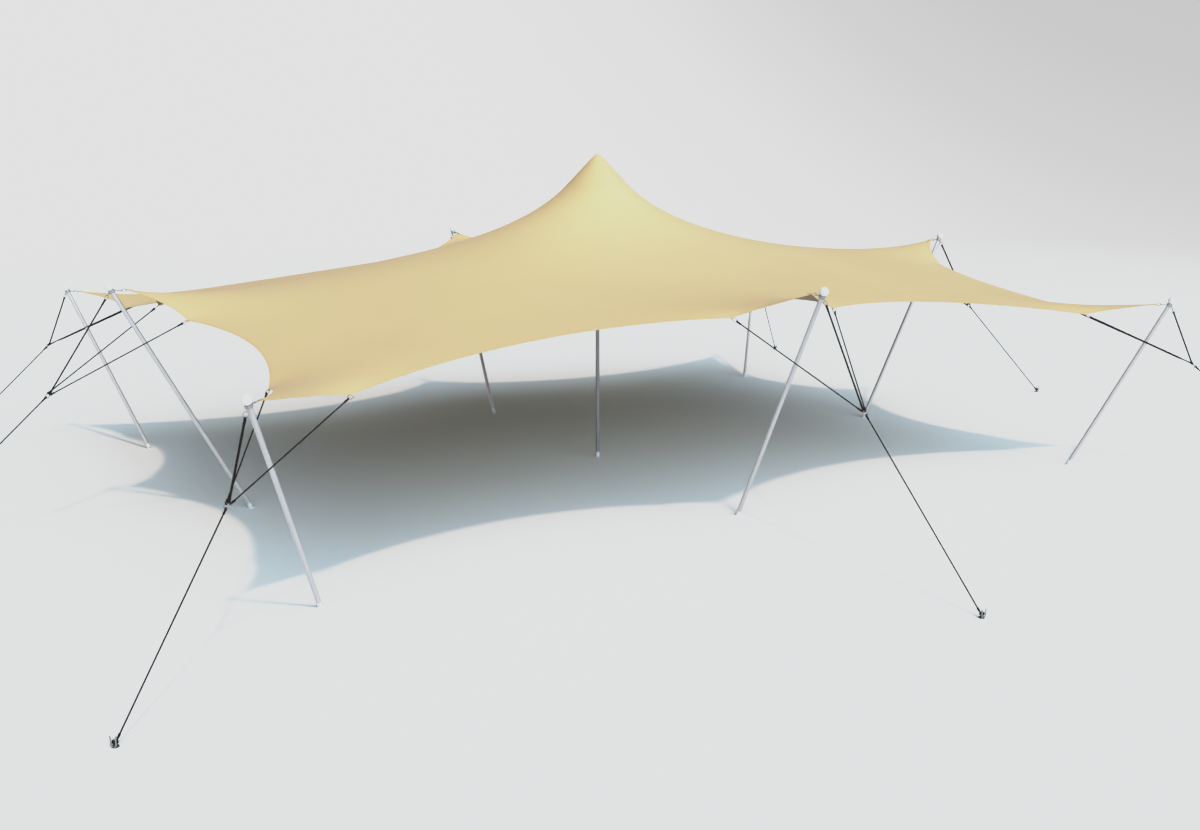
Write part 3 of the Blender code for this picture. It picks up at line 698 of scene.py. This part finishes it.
def edge_bands(lines, half, long_band):
    """The band of each step of an edge, which has a value of its own beside a tip."""
    middles = np.abs(lines[1:] + lines[:-1]) / 2
    beside_tip = (middles < MID_EYELET_SPACING) | (middles > half - CORNER_EYELET_SPACING)
    return np.where(beside_tip, TIP_EDGE_BAND, long_band)


def shares(lines):
    """The width of sheet that each grid line stands for."""
    steps = np.diff(lines)
    width = np.zeros(len(lines))
    width[1:] += steps / 2
    width[:-1] += steps / 2
    return width


def held_spots():
    """Flat place and held point of each tip and eyelet."""
    half_length, half_width = SHEET_LENGTH / 2, SHEET_WIDTH / 2
    spots = []
    for station in STATIONS:
        x_sign, y_sign = station.side
        spots.append((x_sign * half_length, y_sign * half_width, station.tip))
        for number, eyelet in enumerate(station.eyelets):
            if x_sign and y_sign:
                x = half_length - (CORNER_EYELET_SPACING if number == 0 else 0)
                y = half_width - (CORNER_EYELET_SPACING if number == 1 else 0)
                spots.append((x_sign * x, y_sign * y, eyelet))
            elif x_sign:
                spots.append((x_sign * half_length, math.copysign(MID_EYELET_SPACING, eyelet[1]), eyelet))
            else:
                spots.append((math.copysign(MID_EYELET_SPACING, eyelet[0]), y_sign * half_width, eyelet))
    return spots


def stretched_sheet():
    """Points of the cloth's middle surface, where the pulls balance at every free point of its grid."""
    x_lines = sheet_lines(SHEET_LENGTH / 2, LONG_FIELD_LINES)
    y_lines = sheet_lines(SHEET_WIDTH / 2, SHORT_FIELD_LINES)
    x_steps, y_steps = np.diff(x_lines), np.diff(y_lines)
    along_x = LENGTHWAYS_PULL * shares(y_lines)[None, :] / x_steps[:, None]
    along_y = shares(x_lines)[:, None] / y_steps[None, :]
    for side in (0, -1):
        along_x[:, side] += edge_bands(x_lines, SHEET_LENGTH / 2, LONG_EDGE_BAND) / x_steps
        along_y[side, :] += edge_bands(y_lines, SHEET_WIDTH / 2, SHORT_EDGE_BAND) / y_steps
    x_flat, y_flat = np.meshgrid(x_lines, y_lines, indexing="ij")
    points = np.stack([x_flat, y_flat, np.full(x_flat.shape, PEAK_HEIGHT / 2)], -1)
    held = np.zeros(x_flat.shape, bool)
    for x, y, point in held_spots():
        place = np.argmin(abs(x_lines - x)), np.argmin(abs(y_lines - y))
        points[place] = point
        held[place] = True
    reach = np.hypot(x_flat, y_flat)
    drop = PEAK_SLOPE * (np.hypot(reach, PEAK_ROUNDING) - PEAK_ROUNDING)
    on_cap = reach <= PEAK_CAP_REACH
    points[on_cap, 2] = (PEAK_HEIGHT - CANOPY_THICKNESS / 2 - drop)[on_cap]
    held |= on_cap
    return balanced(points, held, along_x, along_y), x_lines, y_lines


def balanced(points, held, along_x, along_y):
    """The points with the free ones moved until their pulls balance, by conjugate gradients."""
    total = np.zeros(held.shape)
    total[:-1] += along_x
    total[1:] += along_x
    total[:, :-1] += along_y
    total[:, 1:] += along_y
    total = total[..., None]
    along_x, along_y = along_x[..., None], along_y[..., None]

    def pull(spots):
        out = total * spots
        out[:-1] -= along_x * spots[1:]
        out[1:] -= along_x * spots[:-1]
        out[:, :-1] -= along_y * spots[:, 1:]
        out[:, 1:] -= along_y * spots[:, :-1]
        out[held] = 0
        return out

    points = points.copy()
    left = -pull(points)
    move = left / total
    size = (left * move).sum((0, 1))
    target = size * SOLVER_TOLERANCE ** 2
    for _ in range(SOLVER_STEPS):
        pulled = pull(move)
        step = size / (move * pulled).sum((0, 1))
        points += step * move
        left -= step * pulled
        scaled = left / total
        following = (left * scaled).sum((0, 1))
        if (following < target).all():
            break
        move = scaled + (following / size) * move
        size = following
    return points


def with_hem_lines(points, lines, half, axis):
    """The grid with two more lines along each edge, at the hem's inner step."""
    inner = half - HEM_WIDTH
    added = np.array([-inner, -inner + HEM_STEP, inner - HEM_STEP, inner])
    wanted = np.sort(np.concatenate([lines, added]))
    after = np.clip(np.searchsorted(lines, wanted, side="right"), 1, len(lines) - 1)
    share = (wanted - lines[after - 1]) / (lines[after] - lines[after - 1])
    low, high = np.take(points, after - 1, axis), np.take(points, after, axis)
    share = share.reshape((-1, 1, 1) if axis == 0 else (1, -1, 1))
    return low + (high - low) * share, wanted


def sheet_normals(points):
    """Upward unit normals at the points of the sheet's grid."""
    normals = np.cross(np.gradient(points, axis=0), np.gradient(points, axis=1))
    return normals / np.linalg.norm(normals, axis=2, keepdims=True)


def border_order(rows, columns):
    """Grid places along the border, anticlockwise from above."""
    places = [(i, 0) for i in range(rows - 1)]
    places += [(rows - 1, j) for j in range(columns - 1)]
    places += [(i, columns - 1) for i in range(rows - 1, 0, -1)]
    places += [(0, j) for j in range(columns - 1, 0, -1)]
    return np.array(places)


def make_cloth(points, x_lines, y_lines):
    """The canopy: one closed sheet with a thicker folded hem round its edge."""
    points, x_lines = with_hem_lines(points, x_lines, SHEET_LENGTH / 2, 0)
    points, y_lines = with_hem_lines(points, y_lines, SHEET_WIDTH / 2, 1)
    normals = sheet_normals(points)
    x_flat, y_flat = np.meshgrid(x_lines, y_lines, indexing="ij")
    edge = np.minimum(SHEET_LENGTH / 2 - abs(x_flat), SHEET_WIDTH / 2 - abs(y_flat))
    in_hem = edge < HEM_WIDTH + HEM_STEP / 2
    half = np.where(in_hem, HEM_THICKNESS, CLOTH_THICKNESS)[..., None] / 2
    rows, columns = x_flat.shape
    numbers = np.arange(rows * columns).reshape(rows, columns)
    shape = Shape()
    shape.points = [(points + normals * half).reshape(-1, 3), (points - normals * half).reshape(-1, 3)]
    spots = np.stack([x_flat, y_flat], -1)
    from_above = [0, 3, 2, 1]
    faces = cell_corners(numbers).reshape(-1, 4)[:, from_above]
    places = cell_corners(spots).reshape(-1, 4, 2)[:, from_above]
    hem_face = cell_corners(in_hem).all(2).ravel()
    for chosen, finish in ((~hem_face, 0), (hem_face, 2)):
        shape.add(faces[chosen], places[chosen], finish)
        shape.add(faces[chosen][:, ::-1] + rows * columns, places[chosen][:, ::-1], finish + 1)
    add_rim(shape, points, half, spots, border_order(rows, columns), numbers, rows * columns)
    # The lower faces take the darker underside copies of the cloth: painted shade.
    finishes = [CLOTH_TOP, CLOTH_UNDER_PAINTED_SHADE, HEM_TOP, HEM_UNDER_PAINTED_SHADE]
    return shape.made("canopy_cloth", finishes, "canopy_fabric", ["canopy"])


def add_rim(shape, points, half, spots, order, numbers, count):
    """The rounded fold that closes the sheet's edge."""
    around = points[order[:, 0], order[:, 1]]
    inside = points[1:-1, 1:-1][np.clip(order[:, 0] - 1, 0, len(points) - 3),
                                np.clip(order[:, 1] - 1, 0, points.shape[1] - 3)]
    fold = around + unit(around - inside) * half[order[:, 0], order[:, 1]] * HEM_FOLD_SHARE
    shape.points.append(fold)
    over = numbers[order[:, 0], order[:, 1]]
    middle = 2 * count + np.arange(len(order))
    places = spots[order[:, 0], order[:, 1]]
    beside = np.stack([places, np.roll(places, -1, 0), np.roll(places, -1, 0), places], 1)
    for upper, lower, finish in ((over, middle, 2), (middle, over + count, 3)):
        faces = np.stack([lower, np.roll(lower, -1), np.roll(upper, -1), upper], 1)
        shape.add(faces, beside, finish)


def make_peak_patch():
    """A round reinforcing patch under the peak, where the cap bears on the cloth."""
    shape = Shape()
    reach = np.linspace(0.0, PATCH_RADIUS, PATCH_RINGS + 1)[1:]
    drop = PEAK_SLOPE * (np.hypot(reach, PEAK_ROUNDING) - PEAK_ROUNDING)
    top = PEAK_HEIGHT - CANOPY_THICKNESS / 2 - CLOTH_THICKNESS / 2 - SEAT_GAP
    over = np.stack([reach, -drop], 1)
    under = over - (0, PATCH_THICKNESS)
    to_axis = (0.02, 1)
    outline = np.concatenate([[under[0] * to_axis], under, over[::-1], [over[0] * to_axis]])
    shape.turned(UP * top, UP, outline, PATCH_SIDES)
    # The patch under the peak takes the darker underside cloth: painted shade.
    return shape.made("canopy_peak_patch", [CLOTH_UNDER_PAINTED_SHADE], "canopy_fabric")


def add_tab(shape, rod, inward, across, over, lift, tilt=0.0):
    """A webbing tab folded round a steel rod, which may be tilted, and sewn on both faces of the sheet."""
    radius = ROD / 2 + TAB_THICKNESS / 2 + SEAT_GAP
    inner_end = rod + inward * TAB_LENGTH
    near = rod + inward * TAB_FOLD
    middle = (inner_end + near) / 2
    bend = arc(rod, rotated(over, inward, tilt), -inward, radius, 0, 180)
    upper = np.array([inner_end, middle, near]) + over * lift
    lower = np.array([near, middle, inner_end]) - over * lift
    sides = np.array([across] * 3 + [rotated(across, inward, tilt)] * len(bend) + [across] * 3)
    route = np.concatenate([upper, bend, lower])
    shape.swept(route, sides, flat_section(TAB_WIDTH, TAB_THICKNESS))


def eyelet_frames(points, normals):
    """For each station and eyelet: the sheet's point, its normal and the direction into the sheet."""
    frames = {}
    for station in STATIONS:
        frames[station.name] = []
        for eyelet in station.eyelets:
            distance = np.linalg.norm(points - eyelet, axis=2)
            place = np.unravel_index(np.argmin(distance), distance.shape)
            inner = tuple(np.clip(place, 1, np.subtract(distance.shape, 2)))
            inward = unit(points[inner] - points[place])
            normal = unit(normals[place] - inward * normals[place].dot(inward))
            frames[station.name].append((points[place], normal, inward))
    return frames


def make_tabs(frames):
    """The sewn tabs at the eight tips and the sixteen eyelets."""
    shape = Shape()
    lift = HEM_THICKNESS / 2 + TAB_THICKNESS / 2
    for station in STATIONS:
        rod = station.tip + station.outward * (ROD / 2)
        add_tab(shape, rod, -station.outward, station.sideways, UP, lift, -TIP_EYE_TILT)
        for point, normal, inward in frames[station.name]:
            rod = eyelet_rod(point, normal, inward)
            add_tab(shape, rod, inward, np.cross(normal, inward), normal, lift)
    return shape.made("canopy_tabs", [SAND_WEBBING], "canopy_fabric")


def eyelet_rod(point, normal, inward):
    """The middle of the near rod of an eyelet's ring, just outside the hem."""
    return point - inward * EYELET_RING_OUT - normal * EYELET_RING_DROP


# Poles, heads and feet


def two_ended(end, low, high):
    """An outline from low to high with the same (radius, height) points at either end, from the axis out."""
    lower = [(radius, low + height) for radius, height in end]
    upper = [(radius, high - height) for radius, height in end]
    return lower + upper[::-1]


def ball_outline(radius, from_radius):
    """(radius, height) points of a ball from the ring of from_radius below its centre to its top."""
    start = math.asin(from_radius / radius) - math.pi / 2
    angle = np.linspace(start, math.pi / 2 - 0.02, BALL_STEPS)
    return np.stack([radius * np.cos(angle), radius * np.sin(angle)], 1)


def make_pole(name, node_name, foot, axis, start, end, material):
    """A drawn tube with its cut ends eased."""
    shape = Shape()
    bore = POLE_RADIUS - POLE_WALL
    outer_end = [(POLE_RADIUS - TUBE_EASE, 0.0), (POLE_RADIUS, TUBE_EASE)]
    outline = [(bore, end), (bore, start)] + two_ended(outer_end, start, end)
    shape.turned(foot, axis, outline, joined=True)
    return shape.made(name, [material], "pole_aluminium", [node_name])


def make_foot(name, node_name, foot, axis):
    """A round pad on the ground, and a ribbed socket that leans with the pole."""
    shape = Shape()
    pad = [(NEAR_AXIS, 0.0), (FOOT_RADIUS, 0.0), (FOOT_RADIUS, FOOT_PAD_HEIGHT * 0.6),
           (FOOT_RADIUS * 0.7, FOOT_PAD_HEIGHT), (NEAR_AXIS, FOOT_PAD_HEIGHT)]
    shape.turned(foot, UP, eased(pad, FOOT_ROUNDING))
    rim = POLE_RADIUS + FOOT_RIM
    groove = rim - GROOVE_DEPTH
    socket = [(NEAR_AXIS, FOOT_START * 0.6), (rim * 0.7, FOOT_START * 0.6), (rim, FOOT_START)]
    for step in range(GROOVE_COUNT):
        height = FOOT_START + GROOVE_PITCH * (step + 1)
        start = height - GROOVE_WIDTH
        socket += [(rim, start - GROOVE_FLANK), (groove, start)]
        socket += [(groove, height), (rim, height + GROOVE_FLANK)]
    socket += [(rim, FOOT_SHOULDER), (NEAR_AXIS, FOOT_SHOULDER)]
    shape.turned(foot, axis, eased(socket, SOCKET_ROUNDING, 3))
    return shape.made(name, [FOOT], "foot_rubber", [node_name])


def add_head(shape, centre, axis, ball_radius, collar_drop):
    """A white ball on its neck, and the alloy collar that caps the pole."""
    low, high = -collar_drop, COLLAR_HEIGHT - collar_drop
    neck = [(NEAR_AXIS, high - COLLAR_EDGE), (NECK_RADIUS, high - COLLAR_EDGE)]
    shape.turned(centre, axis, np.concatenate([neck, ball_outline(ball_radius, NECK_RADIUS)]), HEAD_SIDES)
    rim = POLE_RADIUS + COLLAR_RIM
    end = [(NEAR_AXIS, 0.0), (rim - COLLAR_EDGE, 0.0), (rim, COLLAR_EDGE), (rim, COLLAR_BAND),
           (rim - COLLAR_WAIST, COLLAR_BAND + COLLAR_WAIST)]
    shape.turned(centre, axis, eased(two_ended(end, low, high), COLLAR_ROUNDING, 2), HEAD_SIDES, finish=1)


def add_ring(shape, centre, first, second, radius, rod, finish):
    """A round ring of a rod, or of a rope, in the plane of two directions."""
    route = arc(centre, first, second, radius, 0, 360, RING_STEPS)[:-1]
    shape.swept(route, np.cross(first, second), round_section(rod / 2), joined=True, finish=finish)


def add_steel_eye(shape, root, along, across, reach, finish):
    """An eye bolt: its stem with a hexagon nut at its root, and a forged ring at its end."""
    centre = root + along * (reach - EYE_RADIUS - ROD / 2)
    shape.swept([root, centre - along * EYE_RADIUS], across, round_section(STEM / 2), finish=finish)
    nut = two_ended([(NEAR_AXIS, 0.0), (STEM * 0.95, 0.0), (STEM, NUT_CHAMFER)], 0.0, NUT_HEIGHT)
    shape.turned(root + along * (POLE_RADIUS + COLLAR_RIM - ROD), along, nut, 6, finish=finish)
    boss = [(NEAR_AXIS, BOSS_START), (STEM * 0.5, BOSS_START), (STEM * 0.8, BOSS_WIDEST),
            (STEM * 0.5, BOSS_END), (NEAR_AXIS, BOSS_END)]
    shape.turned(centre - along * EYE_RADIUS, along, eased(boss, BOSS_ROUNDING), BOSS_SIDES, finish=finish)
    add_ring(shape, centre, along, across, EYE_RADIUS, ROD, finish)


def make_head(station):
    """The white head of a leaning pole, with its steel eyes towards the canopy and the guy."""
    shape = Shape()
    add_head(shape, station.head, station.axis, BALL_RADIUS, COLLAR_DROP)
    add_steel_eye(shape, station.tip_root, -station.outward, station.tip_side, INNER_EYE_REACH, 2)
    add_steel_eye(shape, station.strap_root, station.strap_line, station.strap_side, OUTER_EYE_REACH, 2)
    finishes = [WHITE, COLLAR, STEEL]
    return shape.made(f"head_{station.name}", finishes, "white_fitting", [f"pole_head_{station.name}"])


def make_centre_pole():
    """The upright tube, its foot, and the cap that bears on the peak."""
    cap_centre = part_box("centre_pole_cap")[1].z - CAP_BALL_RADIUS
    end = cap_centre - CAP_COLLAR_DROP - SEAT_GAP
    origin = np.zeros(3)
    # The centre tube takes the darker copy of the alloy: painted shade.
    make_pole("centre_tube", "centre_pole", origin, UP, FOOT_SHOULDER + SEAT_GAP, end, PAINTED_SHADE_ALLOY)
    make_foot("centre_foot", "centre_pole_foot", origin, UP)
    shape = Shape()
    add_head(shape, UP * cap_centre, UP, CAP_BALL_RADIUS, CAP_COLLAR_DROP)
    shape.made("centre_cap", [WHITE, COLLAR], "white_fitting", ["centre_pole_cap"])


# Guys and pegs


def eye_route(rod_centre, direction, lateral, radius, gap, reach):
    """A teardrop round a rod whose two ends run together towards the rope."""
    bend = arc(rod_centre, -direction, lateral, radius, EYE_OPENING, -EYE_OPENING)
    ends = rod_centre + direction * (reach * np.array([[1.0], [EYE_NECK_SHARE]]))
    return np.concatenate([ends + lateral * gap, bend, ends[::-1] - lateral * gap])


def add_whipping(shape, start, direction):
    """Tight turns of thin cord round a rope's end."""
    height = np.linspace(0, WHIPPING_LENGTH, WHIPPING_TURNS * 4 + 1)
    dip = 0.5 + 0.5 * np.cos(math.tau * WHIPPING_TURNS * height / WHIPPING_LENGTH)
    turns = np.stack([WHIPPING_RADIUS - WHIPPING_CORD * dip, height], 1)[1:-1]
    end = [(NEAR_AXIS, 0.0), (WHIPPING_RADIUS * 0.8, 0.0)]
    outline = np.insert(np.array(two_ended(end, 0.0, WHIPPING_LENGTH)), 2, turns, axis=0)
    shape.turned(start, direction, outline, WHIPPING_SIDES, finish=2)


def add_rope_end(shape, rod_centre, rod_axis, direction, rod):
    """A rope's eye round a rod with its whipping. Returns where the plain rope starts."""
    lateral = np.cross(direction, rod_axis)
    radius = rod / 2 + ROPE_RADIUS * ROPE_EYE_SHARE
    reach = radius * ROPE_EYE_REACH
    route = eye_route(rod_centre, direction, lateral, radius, ROPE_RADIUS * ROPE_EYE_GAP, reach)
    shape.swept(route, rod_axis, round_section(ROPE_RADIUS * ROPE_EYE_SHARE, ROPE_SIDES))
    add_whipping(shape, rod_centre + direction * (reach - WHIPPING_START), direction)
    return rod_centre + direction * (reach + WHIPPING_LENGTH / 2)


def add_strap_end(shape, rod_centre, rod_axis, direction, rod):
    """A strap folded round a rod and sewn back on itself. Returns where the plain strap starts."""
    lateral = unit(np.cross(direction, rod_axis))
    radius = rod / 2 + STRAP_THICKNESS / 2
    route = eye_route(rod_centre, direction, lateral, radius, STRAP_THICKNESS / 2, STRAP_SEWN_LENGTH)
    route[0] += direction * STRAP_TAIL
    shape.swept(route, rod_axis, flat_section(STRAP_WIDTH, STRAP_THICKNESS), finish=3)
    return rod_centre + direction * (STRAP_SEWN_LENGTH - STRAP_OVERLAP)


def add_line(shape, first, second, broad, radius=ROPE_RADIUS, twist=0.0):
    """A rope or strap between two rods, each given by its centre, axis and thickness.

    The rope's radius may be given, and the strap may be twisted, half of it near each end.
    """
    direction = unit(second[0] - first[0])
    add_end = add_strap_end if broad else add_rope_end
    start = add_end(shape, first[0], first[1], direction, first[2])
    end = add_end(shape, second[0], second[1], -direction, second[2])
    if not broad:
        shape.swept([start, end], first[1], round_section(radius, ROPE_SIDES))
        return
    share = np.linspace(0, 1, STRAP_STEPS + 1)[:, None]
    second_axis = second[1] if first[1].dot(second[1]) > 0 else -second[1]
    across = unit(first[1] * (1 - share) + second_axis * share)
    angles = twist * np.interp(share[:, 0], *zip(*TWIST_SPREAD))
    across = np.array([rotated(side, direction, angle) for side, angle in zip(across, angles)])
    route = start * (1 - share) + end * share
    shape.swept(route, across, flat_section(STRAP_WIDTH, STRAP_THICKNESS), finish=3)


def add_eyelet_ring(shape, near_rod, leg, across):
    """A long steel ring that links a tab to its leg. Returns the centre of its far rod."""
    radius = (EYELET_RING_WIDTH - ROD) / 2
    far = near_rod + leg * (EYELET_RING_LENGTH - ROD)
    route = np.concatenate([arc(near_rod + leg * radius, -leg, across, radius, 90, -90),
                            arc(far - leg * radius, leg, -across, radius, 90, -90)])
    shape.swept(route, np.cross(leg, across), round_section(ROD / 2), joined=True, finish=1)
    return far


def add_rope_to_peg(shape, station):
    """The rope down to the peg: an eye on the ring, and two turns round the stake at its other end."""
    low_rod = station.ring - station.rope_line * GUY_RING_RADIUS
    start = add_rope_end(shape, low_rod, station.ring_side, -station.rope_line, GUY_RING_ROD)
    turn_radius = PEG_RADIUS + SEAT_GAP + ROPE_RADIUS
    end = station.rope_aim + station.rope_line * (turn_radius / math.hypot(*station.rope_line[:2]))
    shape.swept([start, end], station.ring_side, round_section(ROPE_RADIUS, ROPE_SIDES))
    add_whipping(shape, end + station.rope_line * PEG_WHIPPING_GAP, station.rope_line)
    for turn in (-1, 1):
        middle = station.peg + UP * (ROPE_TURNS_HEIGHT + turn * ROPE_RADIUS)
        add_ring(shape, middle, station.outward, station.sideways, turn_radius, 2 * ROPE_RADIUS, 0)


def make_guy(station, frames):
    """The guy's steel rings, strap, legs and the rope down to its peg."""
    shape = Shape()
    add_ring(shape, station.ring, station.rope_line, station.ring_side, GUY_RING_RADIUS, GUY_RING_ROD, 1)
    head_rod = station.strap_root + station.strap_line * (OUTER_EYE_REACH - ROD / 2)
    top_rod = (station.ring_top, station.ring_side, GUY_RING_ROD)
    add_line(shape, (head_rod, station.strap_side, ROD), top_rod, station.broad_leg == 0, HEAD_ROPE_RADIUS)
    for number, (point, normal, inward) in enumerate(frames[station.name]):
        ahead, aside = math.cos(LEG_ANGLE), math.sin(LEG_ANGLE) * station.eyelet_signs[number]
        leg_end = station.ring + (station.rope_line * ahead + station.ring_side * aside) * GUY_RING_RADIUS
        tangent = station.ring_side * ahead - station.rope_line * aside
        near_rod = eyelet_rod(point, normal, inward)
        leg = unit(leg_end - near_rod)
        across = unit(np.cross(normal, inward))
        across = unit(across - leg * across.dot(leg))
        far = add_eyelet_ring(shape, near_rod, leg, across)
        far_rod, end_rod = (far, across, ROD), (leg_end, tangent, GUY_RING_ROD)
        add_line(shape, far_rod, end_rod, station.broad_leg == number + 1, twist=STRAP_TWIST)
    add_rope_to_peg(shape, station)
    name = f"guy_lines_{station.name}"
    return shape.made(name, [ROPE, STEEL, WHIPPING, BLACK_WEBBING], "guy_rope", [f"guy_ropes_{station.name}"])


def make_peg(station):
    """A driven stake with a flat hammered head on its base washer, and a steel fork with two horns."""
    shape = Shape()
    head_rim = PEG_RADIUS + PEG_HEAD_RIM
    stake = [(NEAR_AXIS, 0.0), (PEG_BASE_RADIUS, 0.0), (PEG_BASE_RADIUS, PEG_BASE_HEIGHT * 0.6),
             (PEG_BASE_RADIUS - PEG_BASE_SLOPE, PEG_BASE_HEIGHT), (PEG_RADIUS, PEG_BASE_HEIGHT),
             (PEG_RADIUS, PEG_HEIGHT - PEG_HEAD_HEIGHT), (head_rim, PEG_HEIGHT - PEG_FACE_HEIGHT),
             (head_rim - PEG_FACE_EASE, PEG_HEIGHT), (NEAR_AXIS, PEG_HEIGHT)]
    shape.turned(station.peg, UP, eased(stake, PEG_ROUNDING, 3), PEG_SIDES)
    middle = station.peg + station.outward * FORK_REACH
    low = middle + UP * (FORK_REACH + FORK_ROD / 2 + FORK_LIFT)
    bend = arc(low, station.sideways, -UP, FORK_REACH, 0, 180, FORK_STEPS)
    top = FORK_HEIGHT - FORK_ROD / 2
    horn = [(FORK_REACH + HORN_FLARE, top), (FORK_REACH + HORN_FLARE * 0.35, top - HORN_LENGTH * 0.5),
            (FORK_REACH, top - HORN_LENGTH)]
    first = [middle + station.sideways * out + UP * height for out, height in horn]
    second = [middle - station.sideways * out + UP * height for out, height in horn]
    route = np.concatenate([first, bend, second[::-1]])
    shape.swept(route, station.outward, round_section(FORK_ROD / 2), finish=1)
    return shape.made(f"peg_{station.name}", [PEG_PAINT, STEEL], "peg_steel", [f"ground_peg_{station.name}"])


# Studio


def make_floor():
    """A plain pale floor that fades into the background far behind the tent."""
    rim = np.hstack([round_section(FLOOR_RADIUS, FLOOR_SIDES), np.zeros((FLOOR_SIDES, 1))])
    mesh = bpy.data.meshes.new("floor")
    mesh.from_pydata(rim, [], [list(range(FLOOR_SIDES))])
    floor = bpy.data.objects.new("floor", mesh)
    bpy.context.scene.collection.objects.link(floor)
    material, spot = new_material("pale_floor")
    tree = material.node_tree
    shader = tree.nodes["Principled BSDF"]
    darker, paler = [(tone, tone, tone) for tone in FLOOR_TONES]
    feed(shader.inputs["Base Color"], spot.noise(0.12, 2.0).tones((0.3, darker), (0.7, paler)))
    shader.inputs["Roughness"].default_value = 0.95
    shader.inputs["Specular IOR Level"].default_value = 0.1
    distance = spot.into("VectorMath", {0: spot}, "Value", operation="LENGTH")
    fade = distance.between(0.0, 1.0, FLOOR_FADE_START, FLOOR_FADE_END, "SMOOTHSTEP")
    clear = node(tree, "BsdfTransparent")
    surface = fade.into("MixShader", {0: fade, 1: Value(shader.outputs[0]), 2: Value(clear.outputs[0])})
    feed(tree.nodes["Material Output"].inputs["Surface"], surface)
    mesh.materials.append(material)


def lobe(direction, towards, edge, full):
    """1 round one direction, easing to 0 away from it. The two cosines tell where that ends and starts."""
    cosine = direction.into("VectorMath", {0: direction, 1: unit(towards)}, "Value", operation="DOT_PRODUCT")
    return cosine.between(0.0, 1.0, edge, full, "SMOOTHSTEP")


def light_studio():
    """A sun-like key and a cool soft sky, brighter towards the front.

    The lens sees a pale backdrop in the sky's place, and reflections see a share of it.
    """
    world = bpy.data.worlds.new("studio")
    world.use_nodes = True
    bpy.context.scene.world = world
    tree = world.node_tree
    direction = Value(node(tree, "TexCoord").outputs["Generated"])
    light = (0.0, 0.0, 0.0)
    for towards, edge, full, colour in SKY_LIGHTS:
        share = lobe(direction, towards, edge, full)
        light = share.into("VectorMath", {0: colour, 1: share, 2: light}, operation="MULTIPLY_ADD")
    sky = tree.nodes["Background"]
    feed(sky.inputs["Color"], light)
    shade = lobe(direction, DARK_SIDE, *DARK_SPREAD).between(BACKDROP_LIGHT, BACKDROP_DARK)
    backdrop = node(tree, "Background", {"Color": (1.0, 1.0, 1.0, 1.0), "Strength": shade})
    path = node(tree, "LightPath").outputs
    seen = Value(path["Is Camera Ray"]) + Value(path["Is Glossy Ray"]) * REFLECTED_BACKDROP
    surface = seen.into("MixShader", {0: seen, 1: Value(sky.outputs[0]), 2: Value(backdrop.outputs[0])})
    feed(tree.nodes["World Output"].inputs["Surface"], surface)
    sun = bpy.data.lights.new("key", "SUN")
    sun.energy = SUN_STRENGTH
    sun.angle = SUN_ANGLE
    sun.color = SUN_COLOUR
    key = bpy.data.objects.new("key", sun)
    key.rotation_euler = Vector(TO_SUN).to_track_quat("Z", "Y").to_euler()
    bpy.context.scene.collection.objects.link(key)


def soften_highlights():
    """A plain view whose highlights roll off softly, as the bright floor and cloth do in a studio picture."""
    view = bpy.context.scene.view_settings
    view.view_transform = "Standard"
    view.use_curve_mapping = True
    mapping = view.curve_mapping
    mapping.white_level = [BRIGHTEST_INPUT] * 3
    curve = mapping.curves[3]
    while len(curve.points) < len(HIGHLIGHTS):
        curve.points.new(0.5, 0.5)
    for point, place in zip(curve.points, HIGHLIGHTS):
        point.location = place
        point.handle_type = "AUTO_CLAMPED"
    for point in curve.points[:2]:
        point.handle_type = "VECTOR"
    mapping.update()


def place_camera():
    """The camera at the photograph's angle."""
    lens = bpy.data.cameras.new("camera")
    lens.sensor_fit = "HORIZONTAL"
    lens.sensor_width = SENSOR_WIDTH
    lens.lens = FOCAL_LENGTH
    lens.clip_end = 1000.0
    camera = bpy.data.objects.new("camera", lens)
    camera.location = CAMERA_PLACE
    camera.rotation_euler = Euler((math.pi / 2 - CAMERA_PITCH, 0.0, -CAMERA_YAW))
    bpy.context.scene.collection.objects.link(camera)
    bpy.context.scene.camera = camera


def dress():
    """All the pieces of the tent."""
    points, x_lines, y_lines = stretched_sheet()
    frames = eyelet_frames(points, sheet_normals(points))
    cloth = make_cloth(points, x_lines, y_lines)
    patch = make_peak_patch()
    tabs = make_tabs(frames)
    make_centre_pole()
    for station in STATIONS:
        start = FOOT_SHOULDER + SEAT_GAP
        end = station.length - COLLAR_DROP - SEAT_GAP
        name, foot, axis = station.name, station.foot, station.axis
        make_pole(f"tube_{name}", f"pole_{name}", foot, axis, start, end, ALLOY)
        make_foot(f"foot_{name}", f"pole_foot_{name}", foot, axis)
        make_head(station).name
        make_guy(station, frames)
        make_peg(station)


place_camera()
light_studio()
soften_highlights()
make_floor()
dress()
